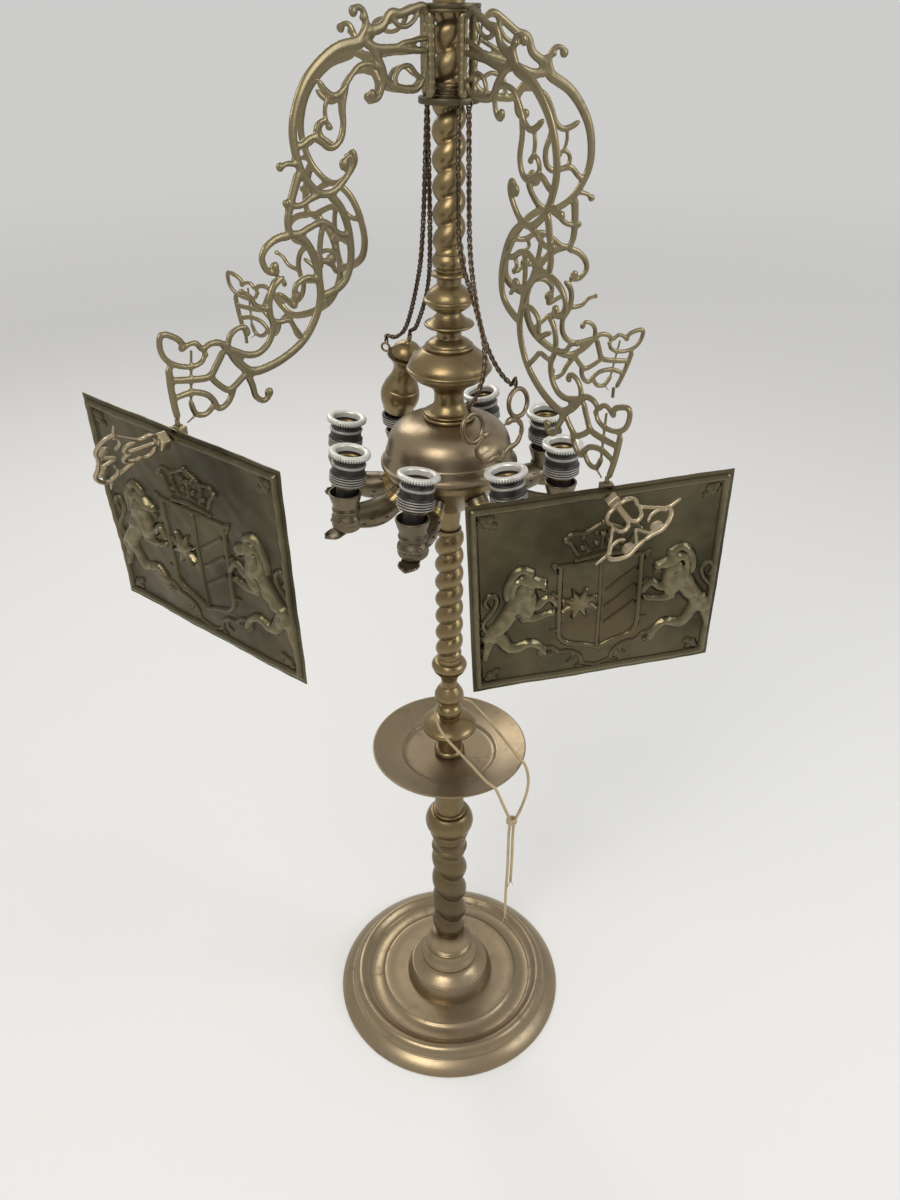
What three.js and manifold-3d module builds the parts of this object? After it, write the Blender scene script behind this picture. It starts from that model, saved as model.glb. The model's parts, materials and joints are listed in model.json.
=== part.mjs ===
// Tall brass oil lamp on a turned column, fitted with electric lampholders.
// Millimetres, +Z up, origin on the column axis at floor level.
import * as THREE from "three";
import { mergeVertices } from "three/addons/utils/BufferGeometryUtils.js";
import Module from "manifold-3d";

const wasm = await Module();
wasm.setup();

// Clearances
const GAP = 0.3;
const ROD_CLEARANCE = 0.3;
const PIVOT_CLEARANCE = 0.45;

// Centre rod, a steel tube that clamps the column together
const ROD = { radius: 5, bore: 3, nutRadius: 13, nutHeight: 4, intoFinial: 24 };
const BORE = ROD.radius + ROD_CLEARANCE;

// Spun foot, its closing plate and the boss on it
const PLATE_THICKNESS = 2.5;
const PLATE_EDGE_CLEARANCE = 4.5;
const FOOT = {
  rimRadius: 181.4,
  rimHeight: 2.5,
  lineRadius: 163.2,
  lineHeight: 17.2,
  ridgeRadius: 148.2,
  ridgeHalfWidth: 5,
  ridgeHeight: 32,
  wellRadius: 131,
  wellHeight: 22,
  floorRadius: 109,
  floorHeight: 25,
  wall: 2.4,
};
const BOSS = [
  { form: "swell", radius: 70.5, top: 62, height: 24 },
  { form: "hollow", radius: 61, top: 42, height: 15 },
  { form: "bead", radius: 46, root: 42, height: 13 },
  { form: "hollow", radius: 42, top: 34, height: 16 },
  { form: "bead", radius: 36.5, root: 32, height: 11 },
  { form: "hollow", radius: 33, top: 27, height: 24 },
];

// Column pieces, from the foot up
const LOWER_TWIST = { core: 21.5, ridge: 5.5, lead: 47.8, height: 186.4, hand: -1 };
const LOWER_KNOP = [
  { form: "bead", radius: 27, root: 24, height: 10 },
  { form: "neck", radius: 24.5, height: 14 },
  { form: "bead", radius: 26, root: 24.5, height: 7 },
  { form: "neck", radius: 25.5, height: 3 },
  { form: "bead", radius: 29, root: 27, height: 8 },
  { form: "bead", radius: 35.5, root: 27.5, height: 38 },
  { form: "bead", radius: 25, root: 22, height: 5 },
  { form: "neck", radius: 21, height: 107.7 },
];
const TRAY = {
  rimRadius: 108,
  rimRise: 16.4,
  lipWidth: 3,
  wellRadius: 67,
  floorRadius: 62,
  wellRise: 4,
  wall: 2,
};
const TRAY_BOSS = [
  { form: "bead", radius: 21.5, root: 18, height: 10 },
  { form: "neck", radius: 16.5, height: 17 },
  { form: "hollow", radius: 16.5, top: 31, height: 21 },
  { form: "neck", radius: 38, height: 3 },
  { form: "swell", radius: 37.5, top: 17, height: 14 },
  { form: "neck", radius: 14, height: 2.4 },
];
const SHAFT_KNOP = [
  { form: "bead", radius: 17.5, root: 13, height: 18 },
  { form: "neck", radius: 12.5, height: 8 },
  { form: "swell", radius: 14, top: 20, height: 7 },
  { form: "swell", radius: 20, top: 12, height: 18 },
  { form: "neck", radius: 10.8, height: 8 },
  { form: "hollow", radius: 10.8, top: 21, height: 19 },
  { form: "bead", radius: 23.5, root: 19, height: 15 },
  { form: "neck", radius: 16, height: 6.4 },
];
const MIDDLE_TWIST = { core: 14, ridge: 4, lead: 25.6, height: 192, hand: 1 };
const PAN = {
  neckRadius: 12.5,
  neckHeight: 4,
  throatRadius: 14.5,
  throatHeight: 26,
  bellyRadius: 36,
  bellyRise: 10,
  bowlRadius: 75,
  bowlHeight: 80,
  flangeRadius: 79.3,
  flangeWidth: 5,
  flangeThickness: 2.6,
  height: 89.7,
  wall: 2,
};
const DOME = {
  seamRadius: 71.4,
  seamHeight: 15.5,
  flangeThickness: 1.8,
  flareRadius: 74.6,
  flareHeight: 6,
  shoulderHeight: 48.2,
  height: 52.2,
  topRadius: 31,
  wall: 2,
};
const DOME_SPOOL = [
  { form: "bead", radius: 30, root: 27, height: 9 },
  { form: "hollow", radius: 24, top: 16.6, height: 12 },
  { form: "neck", radius: 16.6, height: 8.3 },
  { form: "hollow", radius: 16.6, top: 24, height: 10.4 },
];
const LID_CUP = [
  { form: "swell", radius: 25, top: 45, height: 16 },
  { form: "neck", radius: 47.6, height: 4 },
  { form: "swell", radius: 45.5, top: 29, height: 20 },
  { form: "neck", radius: 27, height: 4.7 },
];
const LID_KNOP = [
  { form: "swell", radius: 24, top: 14, height: 7 },
  { form: "neck", radius: 13.5, height: 6.5 },
  { form: "hollow", radius: 13.5, top: 26, height: 6 },
  { form: "neck", radius: 27.3, height: 3.5 },
  { form: "hollow", radius: 24, top: 13, height: 12 },
  { form: "swell", radius: 14, top: 25, height: 10 },
  { form: "bead", radius: 27.5, root: 25, height: 4 },
  { form: "swell", radius: 25, top: 13, height: 14 },
  { form: "neck", radius: 13, height: 7 },
  { form: "bead", radius: 19.5, root: 14, height: 7 },
  { form: "neck", radius: 13, height: 3 },
  { form: "bead", radius: 18, root: 15, height: 13.9 },
];
const UPPER_TWIST = { core: 13, ridge: 4, lead: 25.4, height: 212, hand: 1 };
const FINIAL = [
  { form: "neck", radius: 15, height: 6 },
  { form: "bead", radius: 24, root: 14, height: 26 },
  { form: "neck", radius: 11, height: 7 },
  { form: "bead", radius: 15.5, root: 10, height: 14 },
  { form: "neck", radius: 8, height: 5 },
];
const HANDLE = { radius: 24, wire: 3.5, stemRadius: 6, stemHeight: 5, intoStem: 1.5 };

// Arm hub, a cage of two rings and four hinge pins round the top of the twist
const HUB = {
  radius: 29.5,
  plateThickness: 7,
  cageHeight: 74,
  ringThickness: 6,
  pinRadius: 2.4,
  pinCircle: 25,
};
const KNUCKLE_RADIUS = 4.6;
const ARM_MIDDLE_BELOW_PLATE = 28.3;

// Arms: azimuth in degrees and pitch in the arm's own plane
const ARM_THICKNESS = 4.5;
const ARMS = {
  arm_front_left: { azimuth: 225.5, pitch: 10 },
  arm_front_right: { azimuth: 298, pitch: -2 },
  arm_rear_left: { azimuth: 147, pitch: 0 },
  arm_rear_right: { azimuth: 22, pitch: -12 },
};
// Outline of an arm's flat plate and its windows, as [out, up] from the middle of its hinge
const ARM_OUTLINE = [
  [278, -290], [280, -264], [286, -259], [286, -243], [283, -241], [264, -251], [238, -250],
  [221, -254], [217, -242], [201, -239], [201, -245], [213, -246], [216, -254], [190, -261],
  [185, -259], [176, -249], [178, -228], [174, -208], [166, -201], [152, -199], [120, -201],
  [126, -187], [139, -172], [155, -166], [175, -172], [182, -183], [167, -191], [171, -197],
  [188, -185], [188, -178], [179, -166], [158, -161], [161, -138], [151, -111], [149, -112],
  [157, -93], [159, -70], [157, -59], [146, -38], [138, -28], [114, -12], [89, -3], [86, 8],
  [88, 12], [100, 13], [100, 21], [86, 20], [82, 17], [79, 5], [66, 10], [51, 22], [18, 31],
  [3, 24], [3, 20], [0, 20], [0, 16], [3, 16], [3, -18], [0, -18], [0, -22], [3, -22], [3, -26],
  [12, -34], [30, -38], [54, -35], [56, -48], [70, -52], [70, -46], [62, -44], [60, -36],
  [64, -26], [85, -27], [99, -45], [100, -70], [106, -87], [111, -93], [127, -89], [150, -94],
  [138, -116], [126, -124], [113, -124], [100, -116], [92, -101], [100, -99], [98, -95],
  [90, -96], [86, -101], [96, -120], [113, -129], [90, -144], [85, -154], [80, -175], [83, -197],
  [88, -207], [96, -212], [114, -218], [122, -242], [130, -256], [140, -266], [173, -282],
  [192, -284], [187, -297], [172, -299], [172, -307], [186, -306], [193, -303], [199, -283],
  [209, -293], [216, -306], [222, -311], [239, -299], [272, -299], [266.5, -317], [270.5, -317],
];
const ARM_WINDOWS = [
  [
    [175, -276], [144, -261], [134, -252], [127, -239], [120, -216], [120, -205], [164, -205],
    [169, -211], [172, -228], [172, -251], [182, -264], [190, -267], [207, -263], [191, -277],
  ],
  [
    [127, -85], [113, -89], [104, -70], [103, -49], [111, -53], [122, -52], [131, -47],
    [129, -43], [116, -49], [108, -46], [87, -23], [69, -21], [76, -12], [98, -15], [122, -27],
    [140, -42], [149, -61], [151, -90],
  ],
  [
    [202, -278], [226, -257], [238, -254], [264, -255], [282, -246], [282, -257], [262, -268],
    [244, -260], [242, -264], [262, -272], [276, -267], [275, -279], [239, -278], [234, -274],
    [227, -259], [223, -261], [230, -276], [235, -280], [215, -291],
  ],
  [
    [92, -203], [88, -195], [84, -175], [86, -165], [101, -158], [118, -157], [117, -193],
    [114, -212],
  ],
  [
    [7, 1], [7, 21], [13, 26], [27, 25], [49, 18], [62, 6], [75, 0], [66, -4],
  ],
  [
    [15, -29], [7, -23], [7, -3], [66, -11], [51, -30], [30, -33],
  ],
  [
    [110, -152], [88, -160], [94, -148], [117, -132], [154, -141], [152, -160],
  ],
  [
    [216, -295], [238, -282], [275, -283], [273, -295], [237, -295], [222, -307],
  ],
  [
    [122, -157], [148, -163], [128, -174], [121, -184],
  ],
  [
    [131, -128], [147, -114], [154, -135],
  ],
];

// The round spike under an arm's end: where the plate stops, and the point that carries a screen
const SPIKE_RADIUS = 2.2;
const SPIKE_ROOT = [268.5, -317];
const SPIKE_POINT = [268, -326];
const SPIKE_HEAD = { radius: 3.6, height: 2.5 };
const SPIKE_OVERLAP = 4;

// Screens hang on the spikes of the two front arms
const SCREEN = { width: 251, height: 224, thickness: 1.6, bead: 3, beadInset: 7, above: 7, hole: 4.4 };
const SHIELD = { halfWidth: 41, top: 64, shoulder: 150, cheek: 161, cheekWidth: 29, tip: 174, relief: 2 };
const CLIP = { width: 12, depth: 10, height: 13, studRadius: 3, studDrop: 2 };
const SCREENS = {
  left: { arm: "arm_front_left", turn: -38.8, lean: -3.3, roll: -2.2, offset: 2, studTurn: -52, studLean: -4 },
  right: { arm: "arm_front_right", turn: 8.2, lean: -4.9, roll: 3.7, offset: -6, studTurn: 17, studLean: -9 },
};
const ORNAMENT = {
  nut: 12,
  nutHeight: 9,
  nutStandoff: 3.6,
  studInNut: 6,
  boreSpare: 1,
  rootInNut: 1,
  thickness: 3,
  roll: { left: 56, right: 39 },
};
const ORNAMENT_STROKES = [
  { path: [[0, 2], [4, 10], [14, 18], [24, 18], [38, 26], [45, 34], [45, 46]], ends: [2.6, 1.6] },
  { path: [[44, 32], [56, 29], [61, 17], [56, 5]], ends: [2.2, 2.4] },
  { path: [[57, 6], [60, 0], [57, -6]], ends: [1.9, 1.9] },
  { path: [[12, 17], [8, 9], [16, 4], [27, 7], [26, 18]], ends: [1.9, 1.9] },
];
const ORNAMENT_BALL = { at: [54.5, 15], radius: 5.5 };

// Spouts and lampholders round the pan: azimuth, and how far each lampholder leans along X and Y
const LAMP_RADIUS = 132;
const LAMPS = [
  { azimuth: 25.4, lean: [-1.5, -5.9] },
  { azimuth: 66.5, lean: [-7.8, -3.5] },
  { azimuth: 116, lean: [-3, -8], snuffed: true },
  { azimuth: 161.8, lean: [6.6, 0.9] },
  { azimuth: 206, lean: [8, 0.8] },
  { azimuth: 250.5, lean: [7.8, 6.2] },
  { azimuth: 298, lean: [-7.2, 2.8] },
  { azimuth: 342, lean: [-0.8, -1.3] },
];
const SPOUT = {
  tube: 11.5,
  wallShare: 0.8,
  seat: 68,
  rim: 79.7,
  cup: 18.5,
  bore: 15.9,
  tubeLow: 40,
  foot: [[9, 24], [16, 33], [16, 43], [13.5, 50], [16, 56], [14.5, 62]],
};
const TONGUE = { length: 28, width: 26, thickness: 5, height: 30, droop: 12 };
const HOLDER = {
  stem: 11.5,
  stemHeight: 19,
  neck: 17,
  threadLow: 22.7,
  thread: 20.4,
  threadHeight: 12,
  body: 18.2,
  bodyHeight: 17,
  bore: 13.5,
  boreFloor: 10,
};
const SHADE_RING = { radius: 23.25, bore: 14.2, height: 7.5, bevel: 1.8 };

// Snuffer, set down askew on the lampholder that has lost its upper shell
const SNUFFER = {
  lean: [10, -11.5],
  mouth: 18.3,
  wall: 2.8,
  bulge: 24,
  bulgeHeight: 20,
  shoulder: 21.5,
  shoulderHeight: 33,
  neck: 13,
  neckHeight: 57,
  cup: 23.5,
  cupHeight: 76,
  cupFloor: 14,
  cupDepth: 6,
  dome: 18.7,
  domeHeight: 15,
  knob: 4.2,
  knobHeight: 100,
  bellDepth: 24,
  eyeRadius: 5,
  eyeWire: 1.4,
  eyeTurn: 160,
};

// Wick trimmer, a pair of snake-handled scissors hanging at the front right
const TRIMMER = {
  belowHub: 341.3,
  place: [54.5, -77],
  across: [0.723, 0.685, 0.084],
  upward: [-0.166, 0.054, 0.985],
  ringAt: [-37.5, 56],
  ringRadius: 17,
  ringWire: 2.1,
  thickness: 2.8,
  eyeRadius: 4.4,
  pinRadius: 2,
  headRadius: 3.6,
  headHeight: 1.6,
};
const TRIMMER_STROKES = [
  { path: [[0, 0], [6, -13], [10, -28]], ends: [3.6, 1.5] },
  {
    path: [[0, 0], [-3, 7], [-11, 13], [-25, 13.5], [-35, 21], [-37, 31], [-29, 39.5], [-17, 41.5],
      [-9, 39.5]],
    ends: [2.6, 2.6],
  },
];

// Chains: where each starts on the hub's lower ring, and its drape as [x, y, share of the drop]
const CHAIN_RADIUS = 2.4;
const CHAIN_CIRCLE = 26;
const CHAINS = {
  trimmer_chain_left: {
    start: -46,
    drape: [[19, -35, 0.43], [24, -60, 0.62], [32, -80, 0.77], [31, -92, 0.87], [21, -98, 0.965]],
  },
  trimmer_chain_right: {
    start: -72,
    drape: [[9, -28, 0.45], [24, -34, 0.67], [38, -40, 0.84], [52, -44, 0.94], [64, -46.4, 0.985]],
  },
  snuffer_chain_eye: {
    start: 142,
    drape: [[-27, 20, 0.48], [-34, 50, 0.7], [-46, 84, 0.9], [-58, 97, 0.965]],
  },
  snuffer_chain_knob: {
    start: 142,
    drape: [[-19, 22, 0.5], [-22, 52, 0.74], [-34, 82, 0.93]],
  },
};

// Twin flex: holes in the shaft's neck, and hand-set routes over the tray
const CORD_RADIUS = 2;
const CORD_HOLE = { radius: 2.6, height: 22, azimuths: [203, 11] };
const CORDS = {
  cord_front: [[-11.9, -5, 600.3], [-16, -7, 600], [-20, -15, 592], [-15, -29, 578.5], [-5, -41, 568],
    [9, -53, 557], [28, -69, 543], [45, -86, 532], [56, -95, 528], [62, -101, 519], [69, -100, 498],
    [77, -91, 470], [80.5, -83, 450], [80, -81.5, 420], [80.5, -81, 360], [79.5, -82, 300],
    [80, -82, 250]],
  cord_side: [[12.6, 2.5, 600.3], [18, 4, 600], [30, 7, 592], [46, 4, 574], [64, -8, 556],
    [82, -27, 541], [94, -43, 532], [102, -53, 527], [106, -61, 510], [104, -67, 490],
    [96, -75, 468], [89, -80, 454], [86.4, -80.5, 442], [86, -80, 410], [86.5, -79, 370],
    [86, -79, 325]],
};

const DEGREE = Math.PI / 180;
const SIDES = 12;
const BOSS_SIDES = 18;
const PAN_SIDES = 20;
const WIDE_SIDES = 24;

const BRASS = { color: 0x8a6a35, roughness: 0.34, metalness: 1 };
const PALE_BRASS = { color: 0xa8905a, roughness: 0.38, metalness: 1 };
const SCREEN_BRASS = { color: 0x75603a, roughness: 0.42, metalness: 1 };
const STEEL = { color: 0x77777a, roughness: 0.45, metalness: 1 };
const HOLDER_GREY = { color: 0x2c2a27, roughness: 0.55, metalness: 0.2 };
const ZINC_WHITE = { color: 0xcfcdc4, roughness: 0.5, metalness: 0.3 };
const CHAIN_BRONZE = { color: 0x4a3520, roughness: 0.5, metalness: 0.9 };
const FLEX_CREAM = { color: 0xd8c6a0, roughness: 0.6, metalness: 0 };

const lamp = new THREE.Group();

// A closed solid from any three.js geometry, with its faces pointing out
function solidOf(geometry) {
  const bare = geometry.index ? geometry.toNonIndexed() : geometry.clone();
  bare.deleteAttribute("normal");
  bare.deleteAttribute("uv");
  const welded = mergeVertices(bare, 1e-4);
  const index = welded.index.array;
  const faces = [];
  for (let i = 0; i < index.length; i += 3) {
    const [a, b, c] = [index[i], index[i + 1], index[i + 2]];
    if (a !== b && b !== c && c !== a) faces.push([a, b, c]);
  }
  const build = (triangles) => {
    const mesh = new wasm.Mesh({
      numProp: 3,
      vertProperties: welded.attributes.position.array,
      triVerts: Uint32Array.from(triangles.flat()),
    });
    return new wasm.Manifold(mesh);
  };
  const solid = build(faces);
  return solid.volume() > 0 ? solid : build(faces.map(([a, b, c]) => [a, c, b]));
}

// A named mesh from a solid, put into a group
function addPiece(parent, name, solid, finish) {
  const { vertProperties, triVerts, numProp } = solid.getMesh();
  const points = [];
  for (let i = 0; i < vertProperties.length; i += numProp) {
    points.push(vertProperties[i], vertProperties[i + 1], vertProperties[i + 2]);
  }
  const geometry = new THREE.BufferGeometry();
  geometry.setAttribute("position", new THREE.Float32BufferAttribute(points, 3));
  geometry.setIndex(Array.from(triVerts));
  geometry.computeVertexNormals();
  const mesh = new THREE.Mesh(geometry, new THREE.MeshStandardMaterial({ ...finish, flatShading: true }));
  mesh.name = name;
  parent.add(mesh);
  return mesh;
}

function addGroup(parent) {
  const group = new THREE.Group();
  parent.add(group);
  return group;
}

// A form turned about Z from a closed outline of [radius, height] points
function turnedForm(outline, sides) {
  const points = outline.map(([radius, height]) => new THREE.Vector2(radius, height));
  points.push(points[0].clone());
  return new THREE.LatheGeometry(points, sides).rotateX(Math.PI / 2);
}

// A round bar along Z between two heights
function bar(radius, low, high, sides = 8) {
  const round = new THREE.CylinderGeometry(radius, radius, high - low, sides);
  return round.rotateX(Math.PI / 2).translate(0, 0, (low + high) / 2);
}

// A curve between two [radius, height] points, without its first point
function curved(from, control, to, steps) {
  const ends = [from, control, to].map(([x, y]) => new THREE.Vector2(x, y));
  const curve = new THREE.QuadraticBezierCurve(...ends);
  return curve.getPoints(steps).slice(1).map((point) => [point.x, point.y]);
}

// The outside of a turned piece that starts at height 0, from its list of forms
function turnedOutline(forms) {
  const points = [];
  let z = 0;
  for (const { form, radius, top, root, height } of forms) {
    const start = [root ?? radius, z];
    const above = z + height;
    const steps = Math.max(2, Math.round(height / 9));
    points.push(start);
    if (form === "neck") points.push([radius, above]);
    if (form === "bead") {
      const middle = [2 * radius - root, z + height / 2];
      points.push(...curved(start, middle, [root, above], 2 * Math.ceil(steps / 2)));
    }
    if (form === "swell") {
      const corner = radius > top ? [radius, above] : [top, z];
      points.push(...curved(start, corner, [top, above], steps));
    }
    if (form === "hollow") {
      const corner = radius > top ? [top, z] : [radius, above];
      points.push(...curved(start, corner, [top, above], steps));
    }
    z = above;
  }
  return { points, height: z };
}

// The same outline moved square to itself, by a wall's thickness towards its right-hand side
function innerOutline(points, wall) {
  return points.map(([radius, height], i) => {
    const before = points[Math.max(i - 1, 0)];
    const after = points[Math.min(i + 1, points.length - 1)];
    const run = new THREE.Vector2(after[0] - before[0], after[1] - before[1]).normalize();
    return [radius - wall * run.y, height + wall * run.x];
  });
}

// A turned piece with the rod's bore through it, seated at a height
function addTurned(name, forms, base, sides = SIDES, holes = []) {
  const { points, height } = turnedOutline(forms);
  let solid = solidOf(turnedForm([[BORE, 0], ...points, [BORE, height]], sides));
  for (const hole of holes) solid = solid.subtract(solidOf(hole));
  addPiece(lamp, name, solid, BRASS).position.z = base;
  return base + height;
}

// A twisted shaft: a turned form whose outside swells along a helix
function addTwisted(name, { core, ridge, lead, height, hand }, base) {
  const RINGS_PER_TURN = 4;
  const TWIST_SIDES = 8;
  const rings = Math.round((height / lead) * RINGS_PER_TURN);
  const bore = BORE / Math.cos(Math.PI / TWIST_SIDES);
  const outline = [[bore, 0]];
  for (let i = 0; i <= rings; i += 1) outline.push([core, (i / rings) * height]);
  outline.push([bore, height]);
  const shaft = turnedForm(outline, TWIST_SIDES);
  const position = shaft.attributes.position;
  for (let i = 0; i < position.count; i += 1) {
    const [x, y, z] = [position.getX(i), position.getY(i), position.getZ(i)];
    const radius = Math.hypot(x, y);
    if (radius < (bore + core) / 2) continue;
    const phase = Math.atan2(y, x) - (hand * 2 * Math.PI * z) / lead;
    const fade = Math.min(1, z / (lead / 3), (height - z) / (lead / 3));
    const grown = core + ridge * (fade * Math.abs(Math.cos(phase / 2)) + 0.3 * (1 - fade));
    position.setXY(i, (x / radius) * grown, (y / radius) * grown);
  }
  addPiece(lamp, name, solidOf(shaft), BRASS).position.z = base;
  return base + height;
}

// A flat bar along a bent path, half its width given at both ends, centred on the XY plane
function strip({ path, ends }, thickness) {
  const points = path.map(([x, y]) => new THREE.Vector2(x, y));
  const last = points.length - 1;
  const left = [];
  const right = [];
  points.forEach((at, i) => {
    const run = points[Math.min(i + 1, last)].clone().sub(points[Math.max(i - 1, 0)]).normalize();
    const half = THREE.MathUtils.lerp(ends[0], ends[1], i / last);
    left.push(new THREE.Vector2(at.x - run.y * half, at.y + run.x * half));
    right.push(new THREE.Vector2(at.x + run.y * half, at.y - run.x * half));
  });
  const slab = new THREE.ExtrudeGeometry(new THREE.Shape([...left, ...right.reverse()]), {
    depth: thickness,
    bevelEnabled: false,
  });
  return slab.translate(0, 0, -thickness / 2);
}

const joined = (geometries) => geometries.map(solidOf).reduce((whole, next) => whole.add(next));

const mirroredStroke = ({ path, ends }, [sx, sy]) => ({
  path: path.map(([x, y]) => [sx * x, sy * y]),
  ends,
});

// A round tube along hand-set points
function tubeAlong(points, radius, sides, step) {
  const curve = new THREE.CatmullRomCurve3(points.map((point) => new THREE.Vector3(...point)));
  const section = new THREE.Shape();
  for (let i = 0; i < sides; i += 1) {
    const angle = (i / sides) * 2 * Math.PI;
    const corner = [radius * Math.cos(angle), radius * Math.sin(angle)];
    if (i === 0) section.moveTo(...corner);
    else section.lineTo(...corner);
  }
  const steps = Math.ceil(curve.getLength() / step);
  return new THREE.ExtrudeGeometry(section, { steps, extrudePath: curve, bevelEnabled: false });
}

const onCircle = (radius, azimuth) => [
  radius * Math.cos(azimuth * DEGREE),
  radius * Math.sin(azimuth * DEGREE),
];

// Tips an object along X and Y by angles in degrees
function leanBy(object, [alongX, alongY]) {
  object.rotation.set(-alongY * DEGREE, alongX * DEGREE, 0);
}

function addFoot() {
  const { rimRadius, rimHeight, lineRadius, lineHeight, ridgeRadius, ridgeHalfWidth } = FOOT;
  const { ridgeHeight, wellRadius, wellHeight, floorRadius, floorHeight, wall } = FOOT;
  const outside = [
    [rimRadius, 0],
    [rimRadius, rimHeight],
    [lineRadius, lineHeight],
    [ridgeRadius + ridgeHalfWidth, ridgeHeight - 2.5],
    [ridgeRadius, ridgeHeight],
    [ridgeRadius - ridgeHalfWidth, ridgeHeight - 3],
    [wellRadius, wellHeight],
    [floorRadius, floorHeight],
    [BORE, floorHeight],
  ];
  const inside = innerOutline(outside, wall);
  inside[0] = [rimRadius - wall, 0];
  inside[inside.length - 1] = [BORE, floorHeight - wall];
  addPiece(lamp, "foot", solidOf(turnedForm([...outside, ...inside.reverse()], WIDE_SIDES)), BRASS);
  const plate = bar(rimRadius - PLATE_EDGE_CLEARANCE, 0, PLATE_THICKNESS, WIDE_SIDES);
  addPiece(lamp, "foot_plate", solidOf(plate), STEEL);
  return floorHeight;
}

function addTray(base) {
  const { rimRadius, rimRise, lipWidth, wellRadius, floorRadius, wellRise, wall } = TRAY;
  const outside = [
    [rimRadius, rimRise],
    [rimRadius - lipWidth, rimRise - 0.6],
    [wellRadius, wall + wellRise],
    [floorRadius, wall],
    [BORE, wall],
  ];
  const inside = innerOutline(outside, wall);
  inside[0] = [rimRadius, rimRise - wall];
  inside[inside.length - 1] = [BORE, 0];
  const tray = solidOf(turnedForm([...outside, ...inside.reverse()], WIDE_SIDES));
  addPiece(lamp, "drip_tray", tray, BRASS).position.z = base;
  return base + wall;
}

// The curved wall of the oil pan, from its throat up to the bowl's edge
function panWall() {
  const { throatRadius, throatHeight, bellyRadius, bellyRise, bowlRadius, bowlHeight } = PAN;
  return new THREE.QuadraticBezierCurve(
    new THREE.Vector2(throatRadius, throatHeight),
    new THREE.Vector2(bellyRadius, throatHeight + bellyRise),
    new THREE.Vector2(bowlRadius, bowlHeight),
  );
}

function addPan(base) {
  const { neckRadius, neckHeight, flangeRadius, flangeWidth, flangeThickness, height, wall } = PAN;
  const bowl = panWall().getPoints(4).map((point) => [point.x, point.y]);
  const inside = innerOutline(bowl, wall);
  const bowlEdge = bowl[bowl.length - 1][0];
  const outline = [
    [BORE, 0],
    [neckRadius, 0],
    [neckRadius, neckHeight],
    ...bowl,
    [bowlEdge + 1, height - flangeThickness],
    [flangeRadius, height - flangeThickness],
    [flangeRadius, height],
    [flangeRadius - flangeWidth, height],
    ...inside.slice(1).reverse(),
    [bowl[0][0], inside[0][1] + wall],
    [BORE, inside[0][1] + wall],
  ];
  const pan = solidOf(turnedForm(outline, PAN_SIDES));
  addPiece(lamp, "reservoir_pan", pan, BRASS).position.z = base;
  return base + height;
}

function addDome(base) {
  const { seamRadius, seamHeight, flangeThickness, flareRadius, flareHeight } = DOME;
  const { shoulderHeight, height, topRadius, wall } = DOME;
  const { flangeRadius, flangeWidth } = PAN;
  const shell = (inset, steps) => {
    const start = [seamRadius - inset, seamHeight];
    const control = [seamRadius - inset, shoulderHeight - inset];
    return [start, ...curved(start, control, [topRadius - inset, height - inset], steps)];
  };
  const outline = [
    [flangeRadius, 0],
    [flangeRadius, flangeThickness],
    [flareRadius, flareHeight],
    [seamRadius + 1, seamHeight],
    ...shell(0, 4),
    [BORE, height],
    [BORE, height - wall],
    ...shell(wall, 3).reverse(),
    [flangeRadius - flangeWidth, 0],
  ];
  const dome = solidOf(turnedForm(outline, PAN_SIDES));
  addPiece(lamp, "reservoir_dome", dome, BRASS).position.z = base;
  return base + height;
}

// The hub's plate starts at height 0 in its own group
function addHub(base) {
  const { radius, plateThickness, cageHeight, ringThickness, pinRadius, pinCircle } = HUB;
  const ringBore = UPPER_TWIST.core + UPPER_TWIST.ridge + 2 * GAP;
  const disc = (bore, low, high) =>
    turnedForm([[bore, low], [radius, low], [radius, high], [bore, high]], SIDES);
  const pins = Object.values(ARMS).map(({ azimuth }) =>
    bar(pinRadius, 1 - cageHeight, 1, 6).translate(...onCircle(pinCircle, azimuth), 0),
  );
  const cage = joined([
    disc(BORE, 0, plateThickness),
    disc(ringBore, -cageHeight, ringThickness - cageHeight),
    ...pins,
  ]);
  addPiece(lamp, "arm_hub", cage, PALE_BRASS).position.z = base;
  return base + plateThickness;
}

// A point of an arm's plate after its pitch, as [out from its hinge, up from its middle]
function pitched([out, up], { pitch }) {
  const [c, s] = [Math.cos(pitch * DEGREE), Math.sin(pitch * DEGREE)];
  return [out * c - up * s, out * s + up * c];
}

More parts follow.
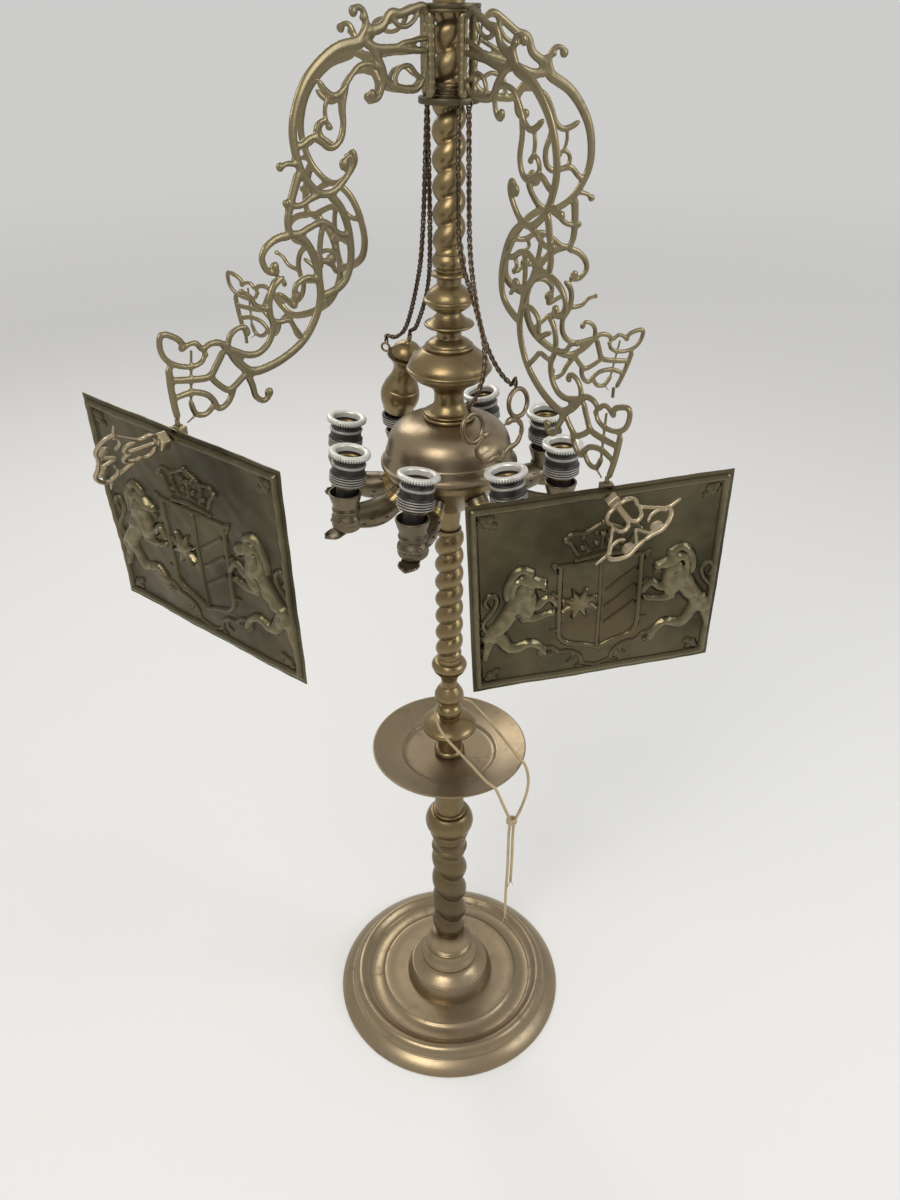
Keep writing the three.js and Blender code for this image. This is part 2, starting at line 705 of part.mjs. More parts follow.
function addArm(name, arm, hubPlate) {
  const { pinCircle, pinRadius, cageHeight, ringThickness } = HUB;
  const group = addGroup(lamp);
  group.position.set(...onCircle(pinCircle, arm.azimuth), hubPlate - ARM_MIDDLE_BELOW_PLATE);
  group.rotation.z = arm.azimuth * DEGREE;

  const outline = new THREE.Shape(ARM_OUTLINE.map(([x, y]) => new THREE.Vector2(x, y)));
  for (const loop of ARM_WINDOWS) {
    outline.holes.push(new THREE.Path(loop.map(([x, y]) => new THREE.Vector2(x, y))));
  }
  const plate = new THREE.ExtrudeGeometry(outline, { depth: ARM_THICKNESS, bevelEnabled: false });
  plate.translate(0, 0, -ARM_THICKNESS / 2).rotateZ(arm.pitch * DEGREE).rotateX(Math.PI / 2);

  const high = ARM_MIDDLE_BELOW_PLATE - GAP;
  const low = ARM_MIDDLE_BELOW_PLATE - cageHeight + ringThickness + GAP;
  const [out, tip] = pitched(SPIKE_POINT, arm);
  const root = pitched(SPIKE_ROOT, arm)[1] + SPIKE_OVERLAP;
  const carriesScreen = Object.values(SCREENS).some((screen) => ARMS[screen.arm] === arm);
  const headTop = tip - CLIP.height / 2 - GAP;
  const spike = bar(SPIKE_RADIUS, carriesScreen ? headTop - 1 : tip, root).translate(out, 0, 0);
  const pieces = [plate, bar(KNUCKLE_RADIUS, low, high), spike];
  if (carriesScreen) {
    pieces.push(bar(SPIKE_HEAD.radius, headTop - SPIKE_HEAD.height, headTop).translate(out, 0, 0));
  }
  const pinHole = bar(pinRadius + PIVOT_CLEARANCE, low - 1, high + 1);
  addPiece(group, name, joined(pieces).subtract(solidOf(pinHole)), PALE_BRASS);
}

// A screen, its clip with the stud, and the pierced ornament screwed on the stud
function addScreen(side, hubPlate) {
  const { arm: armName, turn, lean, roll, offset, studTurn, studLean } = SCREENS[side];
  const arm = ARMS[armName];
  const [out, tip] = pitched(SPIKE_POINT, arm);

  // The group's X runs along the screen and -Y points out of it; the clip's middle is its origin
  const group = addGroup(lamp);
  const place = onCircle(HUB.pinCircle + out, arm.azimuth);
  group.position.set(...place, hubPlate - ARM_MIDDLE_BELOW_PLATE + tip);
  group.rotation.z = turn * DEGREE;
  const studGroup = addGroup(group);
  studGroup.position.z = -CLIP.studDrop;
  studGroup.rotation.set(-studLean * DEGREE, 0, (studTurn - turn) * DEGREE, "ZXY");
  studGroup.updateMatrix();

  const { nut, nutHeight, nutStandoff, studInNut, boreSpare, rootInNut } = ORNAMENT;
  const { width, height, thickness, bead, beadInset, above, hole } = SCREEN;
  const face = CLIP.depth / 2 + GAP + (CLIP.height / 2) * Math.sin(Math.abs(lean) * DEGREE);
  const nutStart = face + thickness + nutStandoff;

  const stud = bar(CLIP.studRadius, 0, nutStart + studInNut).rotateX(Math.PI / 2);
  const clip = solidOf(new THREE.BoxGeometry(CLIP.width, CLIP.depth, CLIP.height))
    .add(solidOf(stud.applyMatrix4(studGroup.matrix)))
    .subtract(solidOf(bar(SPIKE_RADIUS + PIVOT_CLEARANCE, -CLIP.height, CLIP.height)));
  addPiece(group, `screen_clip_${side}`, clip, PALE_BRASS);

  const front = -(face + thickness);
  const middle = above - height / 2;
  const beadDepth = bead / 2 + 0.5;
  const rail = (long, tall, x, z) =>
    new THREE.BoxGeometry(long, beadDepth, tall).translate(x, front + 0.5 - beadDepth / 2, z);
  const across = width - 2 * beadInset;
  const upright = height - 2 * beadInset;
  const { halfWidth, top, shoulder, cheek, cheekWidth, tip: point, relief } = SHIELD;
  const shieldOutline = [
    [-halfWidth, -top],
    [-halfWidth, -shoulder],
    [-cheekWidth, -cheek],
    [0, -point],
    [cheekWidth, -cheek],
    [halfWidth, -shoulder],
    [halfWidth, -top],
  ];
  const shield = new THREE.ExtrudeGeometry(
    new THREE.Shape(shieldOutline.map(([x, y]) => new THREE.Vector2(x, y))),
    { depth: relief + 0.5, bevelEnabled: false },
  );
  shield.rotateX(Math.PI / 2).translate(offset, front + 0.5, above);
  const plate = joined([
    new THREE.BoxGeometry(width, thickness, height).translate(offset, front + thickness / 2, middle),
    rail(across, bead, offset, middle + upright / 2),
    rail(across, bead, offset, middle - upright / 2),
    rail(bead, upright, offset - across / 2, middle),
    rail(bead, upright, offset + across / 2, middle),
    shield,
  ]);
  const screen = new THREE.Object3D();
  screen.rotation.set(-lean * DEGREE, -roll * DEGREE, 0);
  screen.updateMatrix();
  const studHole = bar(hole, -nutStart, 2 * nutStart).rotateX(Math.PI / 2);
  studHole.applyMatrix4(studGroup.matrix).applyMatrix4(screen.matrix.clone().invert());
  const mesh = addPiece(group, `screen_${side}`, plate.subtract(solidOf(studHole)), SCREEN_BRASS);
  mesh.rotation.copy(screen.rotation);

  // The ornament's own frame: X out along the stud, its flat plate rolled about it
  const leaf = ORNAMENT.thickness;
  const strokes = [...ORNAMENT_STROKES, ...ORNAMENT_STROKES.map((s) => mirroredStroke(s, [1, -1]))];
  const fan = strokes.map((stroke) => strip(stroke, leaf));
  const [ballX, ballY] = ORNAMENT_BALL.at;
  for (const y of [ballY, -ballY]) {
    fan.push(bar(ORNAMENT_BALL.radius, -leaf / 2, leaf / 2, 7).translate(ballX, y, 0));
  }
  for (const geometry of fan) geometry.translate(nutHeight - rootInNut, 0, 0);
  const head = new THREE.BoxGeometry(nutHeight, nut, nut).translate(nutHeight / 2, 0, 0);
  const studSocket = bar(CLIP.studRadius + PIVOT_CLEARANCE, -1, studInNut + boreSpare);
  const ornament = joined([head, ...fan]).subtract(solidOf(studSocket.rotateY(Math.PI / 2)));
  const ornamentMesh = addPiece(studGroup, `ornament_${side}`, ornament, PALE_BRASS);
  ornamentMesh.position.y = -nutStart;
  ornamentMesh.rotation.set(ORNAMENT.roll[side] * DEGREE, 0, -Math.PI / 2, "ZXY");
}

// A spout in the column's own frame, pointing along X
function spoutSolid() {
  const { tube, wallShare, seat, rim, cup, bore, tubeLow, foot } = SPOUT;
  const wall = panWall();
  const at = wall.getPoint(wallShare);
  const run = wall.getTangent(wallShare);
  const away = (distance) => [at.x + run.y * distance, 0, at.y - run.x * distance];
  const elbow = tubeAlong(
    [away(GAP), away(16), [LAMP_RADIUS - 30, 0, tubeLow], [LAMP_RADIUS - 6, 0, tubeLow + 3]],
    tube,
    8,
    22,
  );
  const nozzle = turnedForm(
    [[0, foot[0][1]], ...foot, [cup, rim - 5], [cup, rim], [bore, rim], [bore, seat], [0, seat]],
    9,
  );
  const { length, width, thickness, height, droop } = TONGUE;
  const tongue = new THREE.BoxGeometry(length, width, thickness);
  tongue.translate(length / 2, 0, 0).rotateY(droop * DEGREE).translate(LAMP_RADIUS, 0, height);
  return joined([elbow, nozzle.translate(LAMP_RADIUS, 0, 0), tongue]);
}

// A lampholder that starts at height 0; the bare one has lost its upper shell
function holderSolid(bare) {
  const { stem, stemHeight, neck, threadLow, thread, threadHeight, body, bodyHeight, bore } = HOLDER;
  const threadHigh = threadLow + threadHeight;
  const top = bare ? threadHigh : threadHigh + bodyHeight;
  const shell = bare ? [] : [[body, threadHigh + 1], [body, top]];
  const outline = [
    [0, 0],
    [stem, 0],
    [stem, stemHeight],
    [neck, threadLow - 1],
    [thread, threadLow],
    [thread, threadHigh],
    ...shell,
    [bore, top],
    [bore, HOLDER.boreFloor],
    [0, HOLDER.boreFloor],
  ];
  return { solid: solidOf(turnedForm(outline, 10)), top };
}

function addLamps(panBase) {
  const spout = spoutSolid();
  const { radius, bore, height, bevel } = SHADE_RING;
  const ring = solidOf(
    turnedForm(
      [
        [bore, 0],
        [radius - bevel, 0],
        [radius, height / 2],
        [radius - bevel, height],
        [bore, height - 1],
      ],
      12,
    ),
  );
  LAMPS.forEach(({ azimuth, lean, snuffed }, i) => {
    const spoutMesh = addPiece(lamp, `spout_${i + 1}`, spout, BRASS);
    spoutMesh.position.z = panBase;
    spoutMesh.rotation.z = azimuth * DEGREE;

    // The stem stands on the edge of its foot, as far up as its lean needs
    const group = addGroup(lamp);
    leanBy(group, lean);
    const tilt = new THREE.Vector3(0, 0, 1).applyEuler(group.rotation);
    const lift = GAP + HOLDER.stem * Math.sqrt(1 - tilt.z ** 2);
    group.position.set(...onCircle(LAMP_RADIUS, azimuth), panBase + SPOUT.seat + lift);
    const { solid, top } = holderSolid(snuffed);
    addPiece(group, `lampholder_${i + 1}`, solid, HOLDER_GREY);
    if (snuffed) addSnuffer(group, top);
    else addPiece(group, `shade_ring_${i + 1}`, ring, ZINC_WHITE).position.z = top + GAP;
  });
}

const snufferGroup = addGroup(lamp);

// The snuffer rests on the lampholder's top with one side of its mouth
function addSnuffer(holder, holderTop) {
  const { mouth, wall, bulge, bulgeHeight, shoulder, shoulderHeight, neck, neckHeight } = SNUFFER;
  const { cup, cupHeight, cupFloor, cupDepth, dome, domeHeight, knob, knobHeight } = SNUFFER;
  const { bellDepth, eyeRadius, eyeWire, eyeTurn } = SNUFFER;
  leanBy(snufferGroup, SNUFFER.lean);
  holder.updateMatrix();
  const holderUp = new THREE.Vector3(0, 0, 1).applyEuler(holder.rotation);
  const ownUp = new THREE.Vector3(0, 0, 1).applyEuler(snufferGroup.rotation);
  const lift = GAP + mouth * Math.sin(holderUp.angleTo(ownUp));
  snufferGroup.position.set(0, 0, holderTop + lift).applyMatrix4(holder.matrix);
  const domeBase = cupHeight + 2;
  const domeTop = domeBase + domeHeight;
  const body = turnedForm(
    [
      [0, bellDepth],
      [mouth - wall - 2, bellDepth - 4],
      [mouth - wall, bellDepth / 2],
      [mouth - wall, 0],
      [mouth, 0],
      [bulge - 2.5, bulgeHeight - 11],
      [bulge, bulgeHeight],
      [shoulder, shoulderHeight],
      [neck + 2, neckHeight - 11],
      [neck, neckHeight],
      [cup, cupHeight],
      [cup - 2, cupHeight],
      [cupFloor, cupHeight - cupDepth],
      [cupFloor, domeBase],
      [dome, domeBase],
      [dome * 0.85, domeBase + domeHeight / 2],
      [knob, domeTop],
      [knob / 2, domeTop + 2],
      [knob / 2, knobHeight],
      [0, knobHeight],
    ],
    12,
  );
  const eye = new THREE.TorusGeometry(eyeRadius, eyeWire, 5, 10).rotateX(Math.PI / 2);
  const eyeOut = cup + eyeRadius - 1;
  eye.translate(eyeOut, 0, cupHeight + 1).rotateZ(eyeTurn * DEGREE);
  addPiece(snufferGroup, "snuffer", joined([body, eye]), BRASS);
}

const trimmerGroup = addGroup(lamp);

// Two mirrored halves, one over the other, on one rivet
function addTrimmer(hubPlate) {
  const { belowHub, place, ringAt, ringRadius, ringWire, thickness } = TRIMMER;
  const { eyeRadius, pinRadius, headRadius, headHeight } = TRIMMER;
  const across = new THREE.Vector3(...TRIMMER.across).normalize();
  const upward = new THREE.Vector3(...TRIMMER.upward);
  upward.addScaledVector(across, -upward.dot(across)).normalize();
  const outward = new THREE.Vector3().crossVectors(across, upward);
  const axes = new THREE.Matrix4().makeBasis(across, upward, outward);
  trimmerGroup.quaternion.setFromRotationMatrix(axes);
  trimmerGroup.position.set(...place, hubPlate - HUB.cageHeight - belowHub);

  const half = (side) => {
    const fingerRing = new THREE.TorusGeometry(ringRadius - ringWire, ringWire, 5, 14);
    fingerRing.translate(side * ringAt[0], ringAt[1], 0);
    const eye = bar(eyeRadius, -thickness / 2, thickness / 2);
    const strips = TRIMMER_STROKES.map((stroke) => strip(mirroredStroke(stroke, [side, 1]), thickness));
    return joined([...strips, fingerRing, eye]);
  };
  const layer = (thickness + GAP) / 2;
  const below = -layer - thickness / 2 - GAP;
  const rivet = bar(pinRadius, below - headHeight, layer).translate(0, 0, -layer);
  const head = bar(headRadius, below - headHeight, below).translate(0, 0, -layer);
  const left = half(1).add(joined([rivet, head]));
  const right = half(-1).subtract(solidOf(bar(pinRadius + PIVOT_CLEARANCE, -10, 10)));
  addPiece(trimmerGroup, "trimmer_half_left", left, PALE_BRASS).position.z = layer;
  addPiece(trimmerGroup, "trimmer_half_right", right, PALE_BRASS).position.z = -layer;
}

// Chains from the hub's lower ring down to the tools
function addChains(hubPlate) {
  trimmerGroup.updateMatrix();
  snufferGroup.updateMatrix();
  const { ringAt, ringRadius, thickness } = TRIMMER;
  const RUN_IN = 8;
  const inGroup = (group, ...place) => new THREE.Vector3(...place).applyMatrix4(group.matrix).toArray();
  const ringTop = (side) =>
    [RUN_IN, 0].map((above) => {
      const y = ringAt[1] + ringRadius + GAP + above;
      return inGroup(trimmerGroup, side * ringAt[0], y, (side * (thickness + GAP)) / 2);
    });
  const { cup, cupHeight, eyeRadius, eyeWire, eyeTurn, knobHeight } = SNUFFER;
  const [eyeX, eyeY] = onCircle(cup + eyeRadius - 1, eyeTurn);
  const onSnuffer = (x, y, z) =>
    [RUN_IN, 0].map((above) => inGroup(snufferGroup, x, y, z + GAP + above));
  const start = hubPlate - HUB.cageHeight - GAP;
  const route = (name, [runIn, end]) => {
    const chain = CHAINS[name];
    const drop = ([x, y, share]) => [x, y, THREE.MathUtils.lerp(start, end[2], share)];
    const top = [...onCircle(CHAIN_CIRCLE, chain.start), start];
    const points = [top, ...chain.drape.map(drop), runIn, end];
    return tubeAlong(points, CHAIN_RADIUS, 6, 20);
  };
  const knobEnd = onSnuffer(0, 0, knobHeight);
  const eyeEnd = onSnuffer(eyeX, eyeY, cupHeight + 1 + eyeRadius + eyeWire);
  const left = route("trimmer_chain_left", ringTop(1));
  const right = route("trimmer_chain_right", ringTop(-1));
  const pair = joined([route("snuffer_chain_eye", eyeEnd), route("snuffer_chain_knob", knobEnd)]);
  addPiece(lamp, "trimmer_chain_left", solidOf(left), CHAIN_BRONZE);
  addPiece(lamp, "trimmer_chain_right", solidOf(right), CHAIN_BRONZE);
  addPiece(lamp, "snuffer_chain", pair, CHAIN_BRONZE);
}

function addFinial(base) {
  const { points, height } = turnedOutline(FINIAL);
  const boreEnd = ROD.intoFinial + GAP;
  const outline = [[BORE, 0], ...points, [0, height], [0, boreEnd], [BORE, boreEnd]];
  addPiece(lamp, "finial", solidOf(turnedForm(outline, SIDES)), BRASS).position.z = base;
  const { radius, wire, stemRadius, stemHeight, intoStem } = HANDLE;
  const loop = new THREE.TorusGeometry(radius, wire, 6, 16).rotateX(Math.PI / 2);
  loop.translate(0, 0, stemHeight + radius + wire - intoStem);
  const ring = addPiece(lamp, "carrying_ring", joined([loop, bar(stemRadius, 0, stemHeight)]), BRASS);
  ring.position.z = base + height + GAP;
}

function addRod(footFloor, finialBase) {
  const nutTop = footFloor - FOOT.wall - GAP;
  const end = finialBase + ROD.intoFinial - nutTop;
  const outline = [
    [ROD.bore, -ROD.nutHeight],
    [ROD.nutRadius, -ROD.nutHeight],
    [ROD.nutRadius, 0],
    [ROD.radius, 0],
    [ROD.radius, end],
    [ROD.bore, end],
  ];
  addPiece(lamp, "centre_rod", solidOf(turnedForm(outline, 10)), STEEL).position.z = nutTop;
}

// Radial holes where the flex leaves the shaft
const cordHoles = CORD_HOLE.azimuths.map((azimuth) =>
  bar(CORD_HOLE.radius, BORE - 1, 2 * SHAFT_KNOP[0].radius)
    .rotateY(Math.PI / 2)
    .rotateZ(azimuth * DEGREE)
    .translate(0, 0, CORD_HOLE.height),
);

// Assembly, each column piece seated on the one below
const footFloor = addFoot();
const bossTop = addTurned("foot_boss", BOSS, footFloor + GAP, BOSS_SIDES);
const lowerTwistTop = addTwisted("lower_twist", LOWER_TWIST, bossTop + GAP);
const lowerKnopTop = addTurned("lower_knop", LOWER_KNOP, lowerTwistTop + GAP);
const trayFloor = addTray(lowerKnopTop + GAP);
const trayBossTop = addTurned("tray_boss", TRAY_BOSS, trayFloor + GAP, BOSS_SIDES);
const shaftKnopTop = addTurned("shaft_knop", SHAFT_KNOP, trayBossTop + GAP, SIDES, cordHoles);
const middleTwistTop = addTwisted("middle_twist", MIDDLE_TWIST, shaftKnopTop + GAP);
const panBase = middleTwistTop + GAP;
const panTop = addPan(panBase);
const domeTop = addDome(panTop + GAP);
const spoolTop = addTurned("dome_spool", DOME_SPOOL, domeTop + GAP);
const lidTop = addTurned("lid_cup", LID_CUP, spoolTop + GAP, BOSS_SIDES);
const lidKnopTop = addTurned("lid_knop", LID_KNOP, lidTop + GAP);
const upperTwistTop = addTwisted("upper_twist", UPPER_TWIST, lidKnopTop + GAP);
const hubPlate = upperTwistTop + GAP;
const hubTop = addHub(hubPlate);
addFinial(hubTop + GAP);
addRod(footFloor, hubTop + GAP);
for (const [name, arm] of Object.entries(ARMS)) addArm(name, arm, hubPlate);
for (const side of Object.keys(SCREENS)) addScreen(side, hubPlate);
addLamps(panBase);
addTrimmer(hubPlate);
addChains(hubPlate);
for (const [name, route] of Object.entries(CORDS)) {
  addPiece(lamp, name, solidOf(tubeAlong(route, CORD_RADIUS, 8, 12)), FLEX_CREAM);
}

export default lamp;
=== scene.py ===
"""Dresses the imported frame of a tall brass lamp: column, lampholders, scrolled arms and hung screens."""

import json
import math

import bmesh
import bpy
import numpy as np
from mathutils import Euler, Matrix, Vector


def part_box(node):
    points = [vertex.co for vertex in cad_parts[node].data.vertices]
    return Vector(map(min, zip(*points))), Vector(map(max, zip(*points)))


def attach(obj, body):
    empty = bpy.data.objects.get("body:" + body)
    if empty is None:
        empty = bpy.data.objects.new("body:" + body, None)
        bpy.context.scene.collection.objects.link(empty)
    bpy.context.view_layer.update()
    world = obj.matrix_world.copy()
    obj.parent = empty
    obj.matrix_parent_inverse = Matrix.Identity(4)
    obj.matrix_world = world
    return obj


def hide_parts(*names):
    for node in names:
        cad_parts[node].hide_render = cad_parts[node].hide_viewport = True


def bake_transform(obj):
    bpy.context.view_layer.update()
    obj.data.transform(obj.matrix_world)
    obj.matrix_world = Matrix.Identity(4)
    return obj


bl_info = {
    "name": "Brass Lamp",
    "version": (1, 0, 0),
    "blender": (4, 5, 0),
    "location": "3D View > Sidebar > Lamp",
    "description": "Builds the pieces and finishes of a brass lamp on its frame",
    "category": "Object",
}

MM = 0.001
WELD = 1e-3

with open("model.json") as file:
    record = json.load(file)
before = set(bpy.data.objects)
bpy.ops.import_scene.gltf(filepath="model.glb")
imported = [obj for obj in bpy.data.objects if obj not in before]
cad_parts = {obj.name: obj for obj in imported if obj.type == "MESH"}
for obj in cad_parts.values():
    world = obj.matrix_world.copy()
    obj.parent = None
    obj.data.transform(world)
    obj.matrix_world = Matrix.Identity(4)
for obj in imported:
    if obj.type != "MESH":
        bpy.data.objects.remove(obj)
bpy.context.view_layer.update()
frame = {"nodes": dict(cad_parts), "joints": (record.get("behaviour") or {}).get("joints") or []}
JOINTS = {joint["name"]: joint for joint in frame["joints"]}


def low(node):
    """Height of a node's underside, in millimetres."""
    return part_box(node)[0].z / MM


def high(node):
    """Height of a node's top, in millimetres."""
    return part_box(node)[1].z / MM


def pivot(name):
    """Place of a joint, in millimetres."""
    return Vector(JOINTS[name]["pos_m"]) / MM


def bow(start, control, end, steps=6):
    """Points after the start of a curve that the control draws to its side."""
    points = []
    for t in [(i + 1) / steps for i in range(steps)]:
        corners = zip(start, control, end)
        points.append(tuple(a * (1 - t) ** 2 + 2 * b * t * (1 - t) + c * t**2 for a, b, c in corners))
    return points


# Sizes and places are in millimetres, down to the camera and the lamps

# Turned pieces from the bottom up: form, radius, second radius, height. A bead's second radius is its
# root; the other forms run from the first radius to the second.
TURNED = {
    "foot_boss": [
        ("swell", 70.5, 62, 24),
        ("hollow", 61, 42, 15),
        ("bead", 46, 42, 13),
        ("hollow", 42, 34, 16),
        ("bead", 36, 33, 3.5),
        ("bead", 36.5, 34, 4),
        ("bead", 36, 33, 3.5),
        ("hollow", 33, 27, 24),
    ],
    "lower_knop": [
        ("bead", 27, 24, 10),
        ("neck", 24.5, 24.5, 14),
        ("bead", 26, 24.5, 7),
        ("neck", 25.5, 25.5, 3),
        ("bead", 29, 27, 8),
        ("bead", 35.5, 27.5, 38),
        ("bead", 25, 22, 5),
        ("neck", 21, 21, 107.7),
    ],
    "tray_boss": [
        ("bead", 21.5, 18, 10),
        ("neck", 16.5, 16.5, 17),
        ("hollow", 16.5, 31, 21),
        ("neck", 38, 38, 3),
        ("swell", 37.5, 17, 14),
        ("neck", 14, 14, 2.4),
    ],
    "shaft_knop": [
        ("bead", 17.5, 13, 18),
        ("neck", 12.5, 12.5, 8),
        ("swell", 14, 20, 7),
        ("swell", 20, 12, 18),
        ("neck", 10.8, 10.8, 8),
        ("hollow", 10.8, 21, 19),
        ("bead", 23.5, 19, 15),
        ("neck", 16, 16, 6.4),
    ],
    "dome_spool": [
        ("bead", 30, 28, 5),
        ("bead", 29, 26, 4),
        ("hollow", 24, 16.6, 12),
        ("neck", 16.6, 16.6, 8.3),
        ("hollow", 16.6, 24, 10.4),
    ],
    "lid_cup": [
        ("swell", 25, 45, 16),
        ("bead", 47.6, 45.6, 4),
        ("swell", 45.5, 29, 20),
        ("bead", 27, 25.6, 4.7),
    ],
    "lid_knop": [
        ("swell", 24, 14, 7),
        ("neck", 13.5, 13.5, 6.5),
        ("hollow", 13.5, 26, 6),
        ("bead", 27.3, 25.8, 3.5),
        ("hollow", 24, 13, 12),
        ("swell", 14, 25, 10),
        ("bead", 27.5, 25, 4),
        ("swell", 25, 13, 14),
        ("neck", 13, 13, 7),
        ("bead", 19.5, 14, 7),
        ("neck", 13, 13, 3),
        ("bead", 18, 15, 13.9),
    ],
    "finial": [
        ("neck", 15, 15, 6),
        ("bead", 24, 14, 26),
        ("neck", 11, 11, 7),
        ("bead", 15.5, 10, 14),
        ("neck", 8, 8, 5),
    ],
}
BORE = 5.6

# Twisted shafts: rings to a lead and sides of a ring, then each shaft's core radius, ridge height, lead
# and hand
TWIST_RINGS = 18
TWIST_SIDES = 48
TWISTED = {
    "lower_twist": (21.5, 5.5, 47.8, -1),
    "middle_twist": (14, 4, 25.6, 1),
    "upper_twist": (13, 4, 25.4, 1),
}

# Dished pieces, as (radius, height) from their own underside
FOOT_TOP = [
    (181.4, 0), (181.4, 2.5), *bow((181.4, 2.5), (174, 12), (163.2, 17.2)), (162.4, 17), (161.4, 18.2),
    *bow((161.4, 18.2), (157, 32), (148.2, 32)), (145, 31.2), (141, 27.5), (137, 24.6), (133.5, 23.6),
    (133, 22.4), (126, 21.4), (118, 21.8), (112, 23.6), (109, 26.4), (106, 26.6), (98, 25.6), (85, 25),
    (BORE, 25),
]
TRAY_TOP = [
    (108, 14.6), (108, 16.1), (106.6, 16.5), (104.6, 15.8), (92, 11.6), (80, 8.2), (70, 6.2), (67, 5.9),
    (65.2, 4.4), (63, 2.4), (58, 2), (BORE, 2),
]
PAN_BOWL = bow((14.5, 26), (36, 36), (75, 80), 12)
PAN_SIDE = [
    (BORE, 0), (12.5, 0), (12.5, 4), (14.5, 26), *PAN_BOWL, (75.4, 84.5), (76.4, 86.6), (79.3, 87.1),
    (79.3, 89.7), (74.3, 89.7),
]
DOME_SIDE = [
    (79.3, 0), (79.3, 1.8), *bow((79.3, 1.8), (73, 3), (72.6, 13.6)), (73.3, 14.4), (73.3, 15.4),
    (72.4, 16.2), *bow((71.4, 16.6), (71.4, 48.2), (31, 52.2), 12), (BORE, 52.2),
]
FOOT_WALL = 2.4
SHEET_WALL = 2.0
PAN_WALL = 1.5
PAN_RIM = (73.4, 84)
SHEET_EDGE = 1.2
TURNED_STEP = 2.2

# Carrying ring: radius, wire and the height of its middle, and the foot under it
CARRYING_RING = (24, 3.5, 31)
CARRYING_FOOT = [("bead", 7.4, 5, 3), ("neck", 5, 5, 3.5)]

# The hub at the top of the column; a ring of wire is given by its radius and its wire's
HUB_RADIUS = 29.5
HUB_PLATE = 7
HUB_RING = 6
HUB_CAGE = 74
HUB_RING_BORE = 17.7
HUB_EDGE = 1.2
HUB_GROOVE = (2.2, 3, 3.8, 0.9)
HUB_PIN = 2.4
HUB_PIN_CIRCLE = 25
HUB_PIN_LOOPS = (-4.2, -8.1, 8.4 - HUB_CAGE)
HUB_LOOP = (3.4, 0.8)
HUB_LOOP_TILT = 6.8755
HUB_TIE = (18.1, 0.75)
HUB_TIE_TURNS = 7
HUB_TIE_PITCH = 1.7
HUB_TIE_TILT = 2.8648
KNUCKLE = 4.6
KNUCKLE_BORE = 2.85
KNUCKLE_RINGS = 9
KNUCKLE_GROOVE = 0.7
ARM_BELOW_PLATE = 28.3

# Arms: azimuth and pitch in degrees
ARMS = {
    "arm_front_left": (225.5, 10),
    "arm_front_right": (298, -2),
    "arm_rear_left": (147, 0),
    "arm_rear_right": (22, -12),
}
SPIKE_TOP = (268.5, -313)
SPIKE_POINT = (268, -326)
SPIKE_RADIUS = 2.1
SPIKE_HEAD = [("bead", 3.6, 2.2, 2.5)]
SPIKE_HEAD_DROP = 1.5

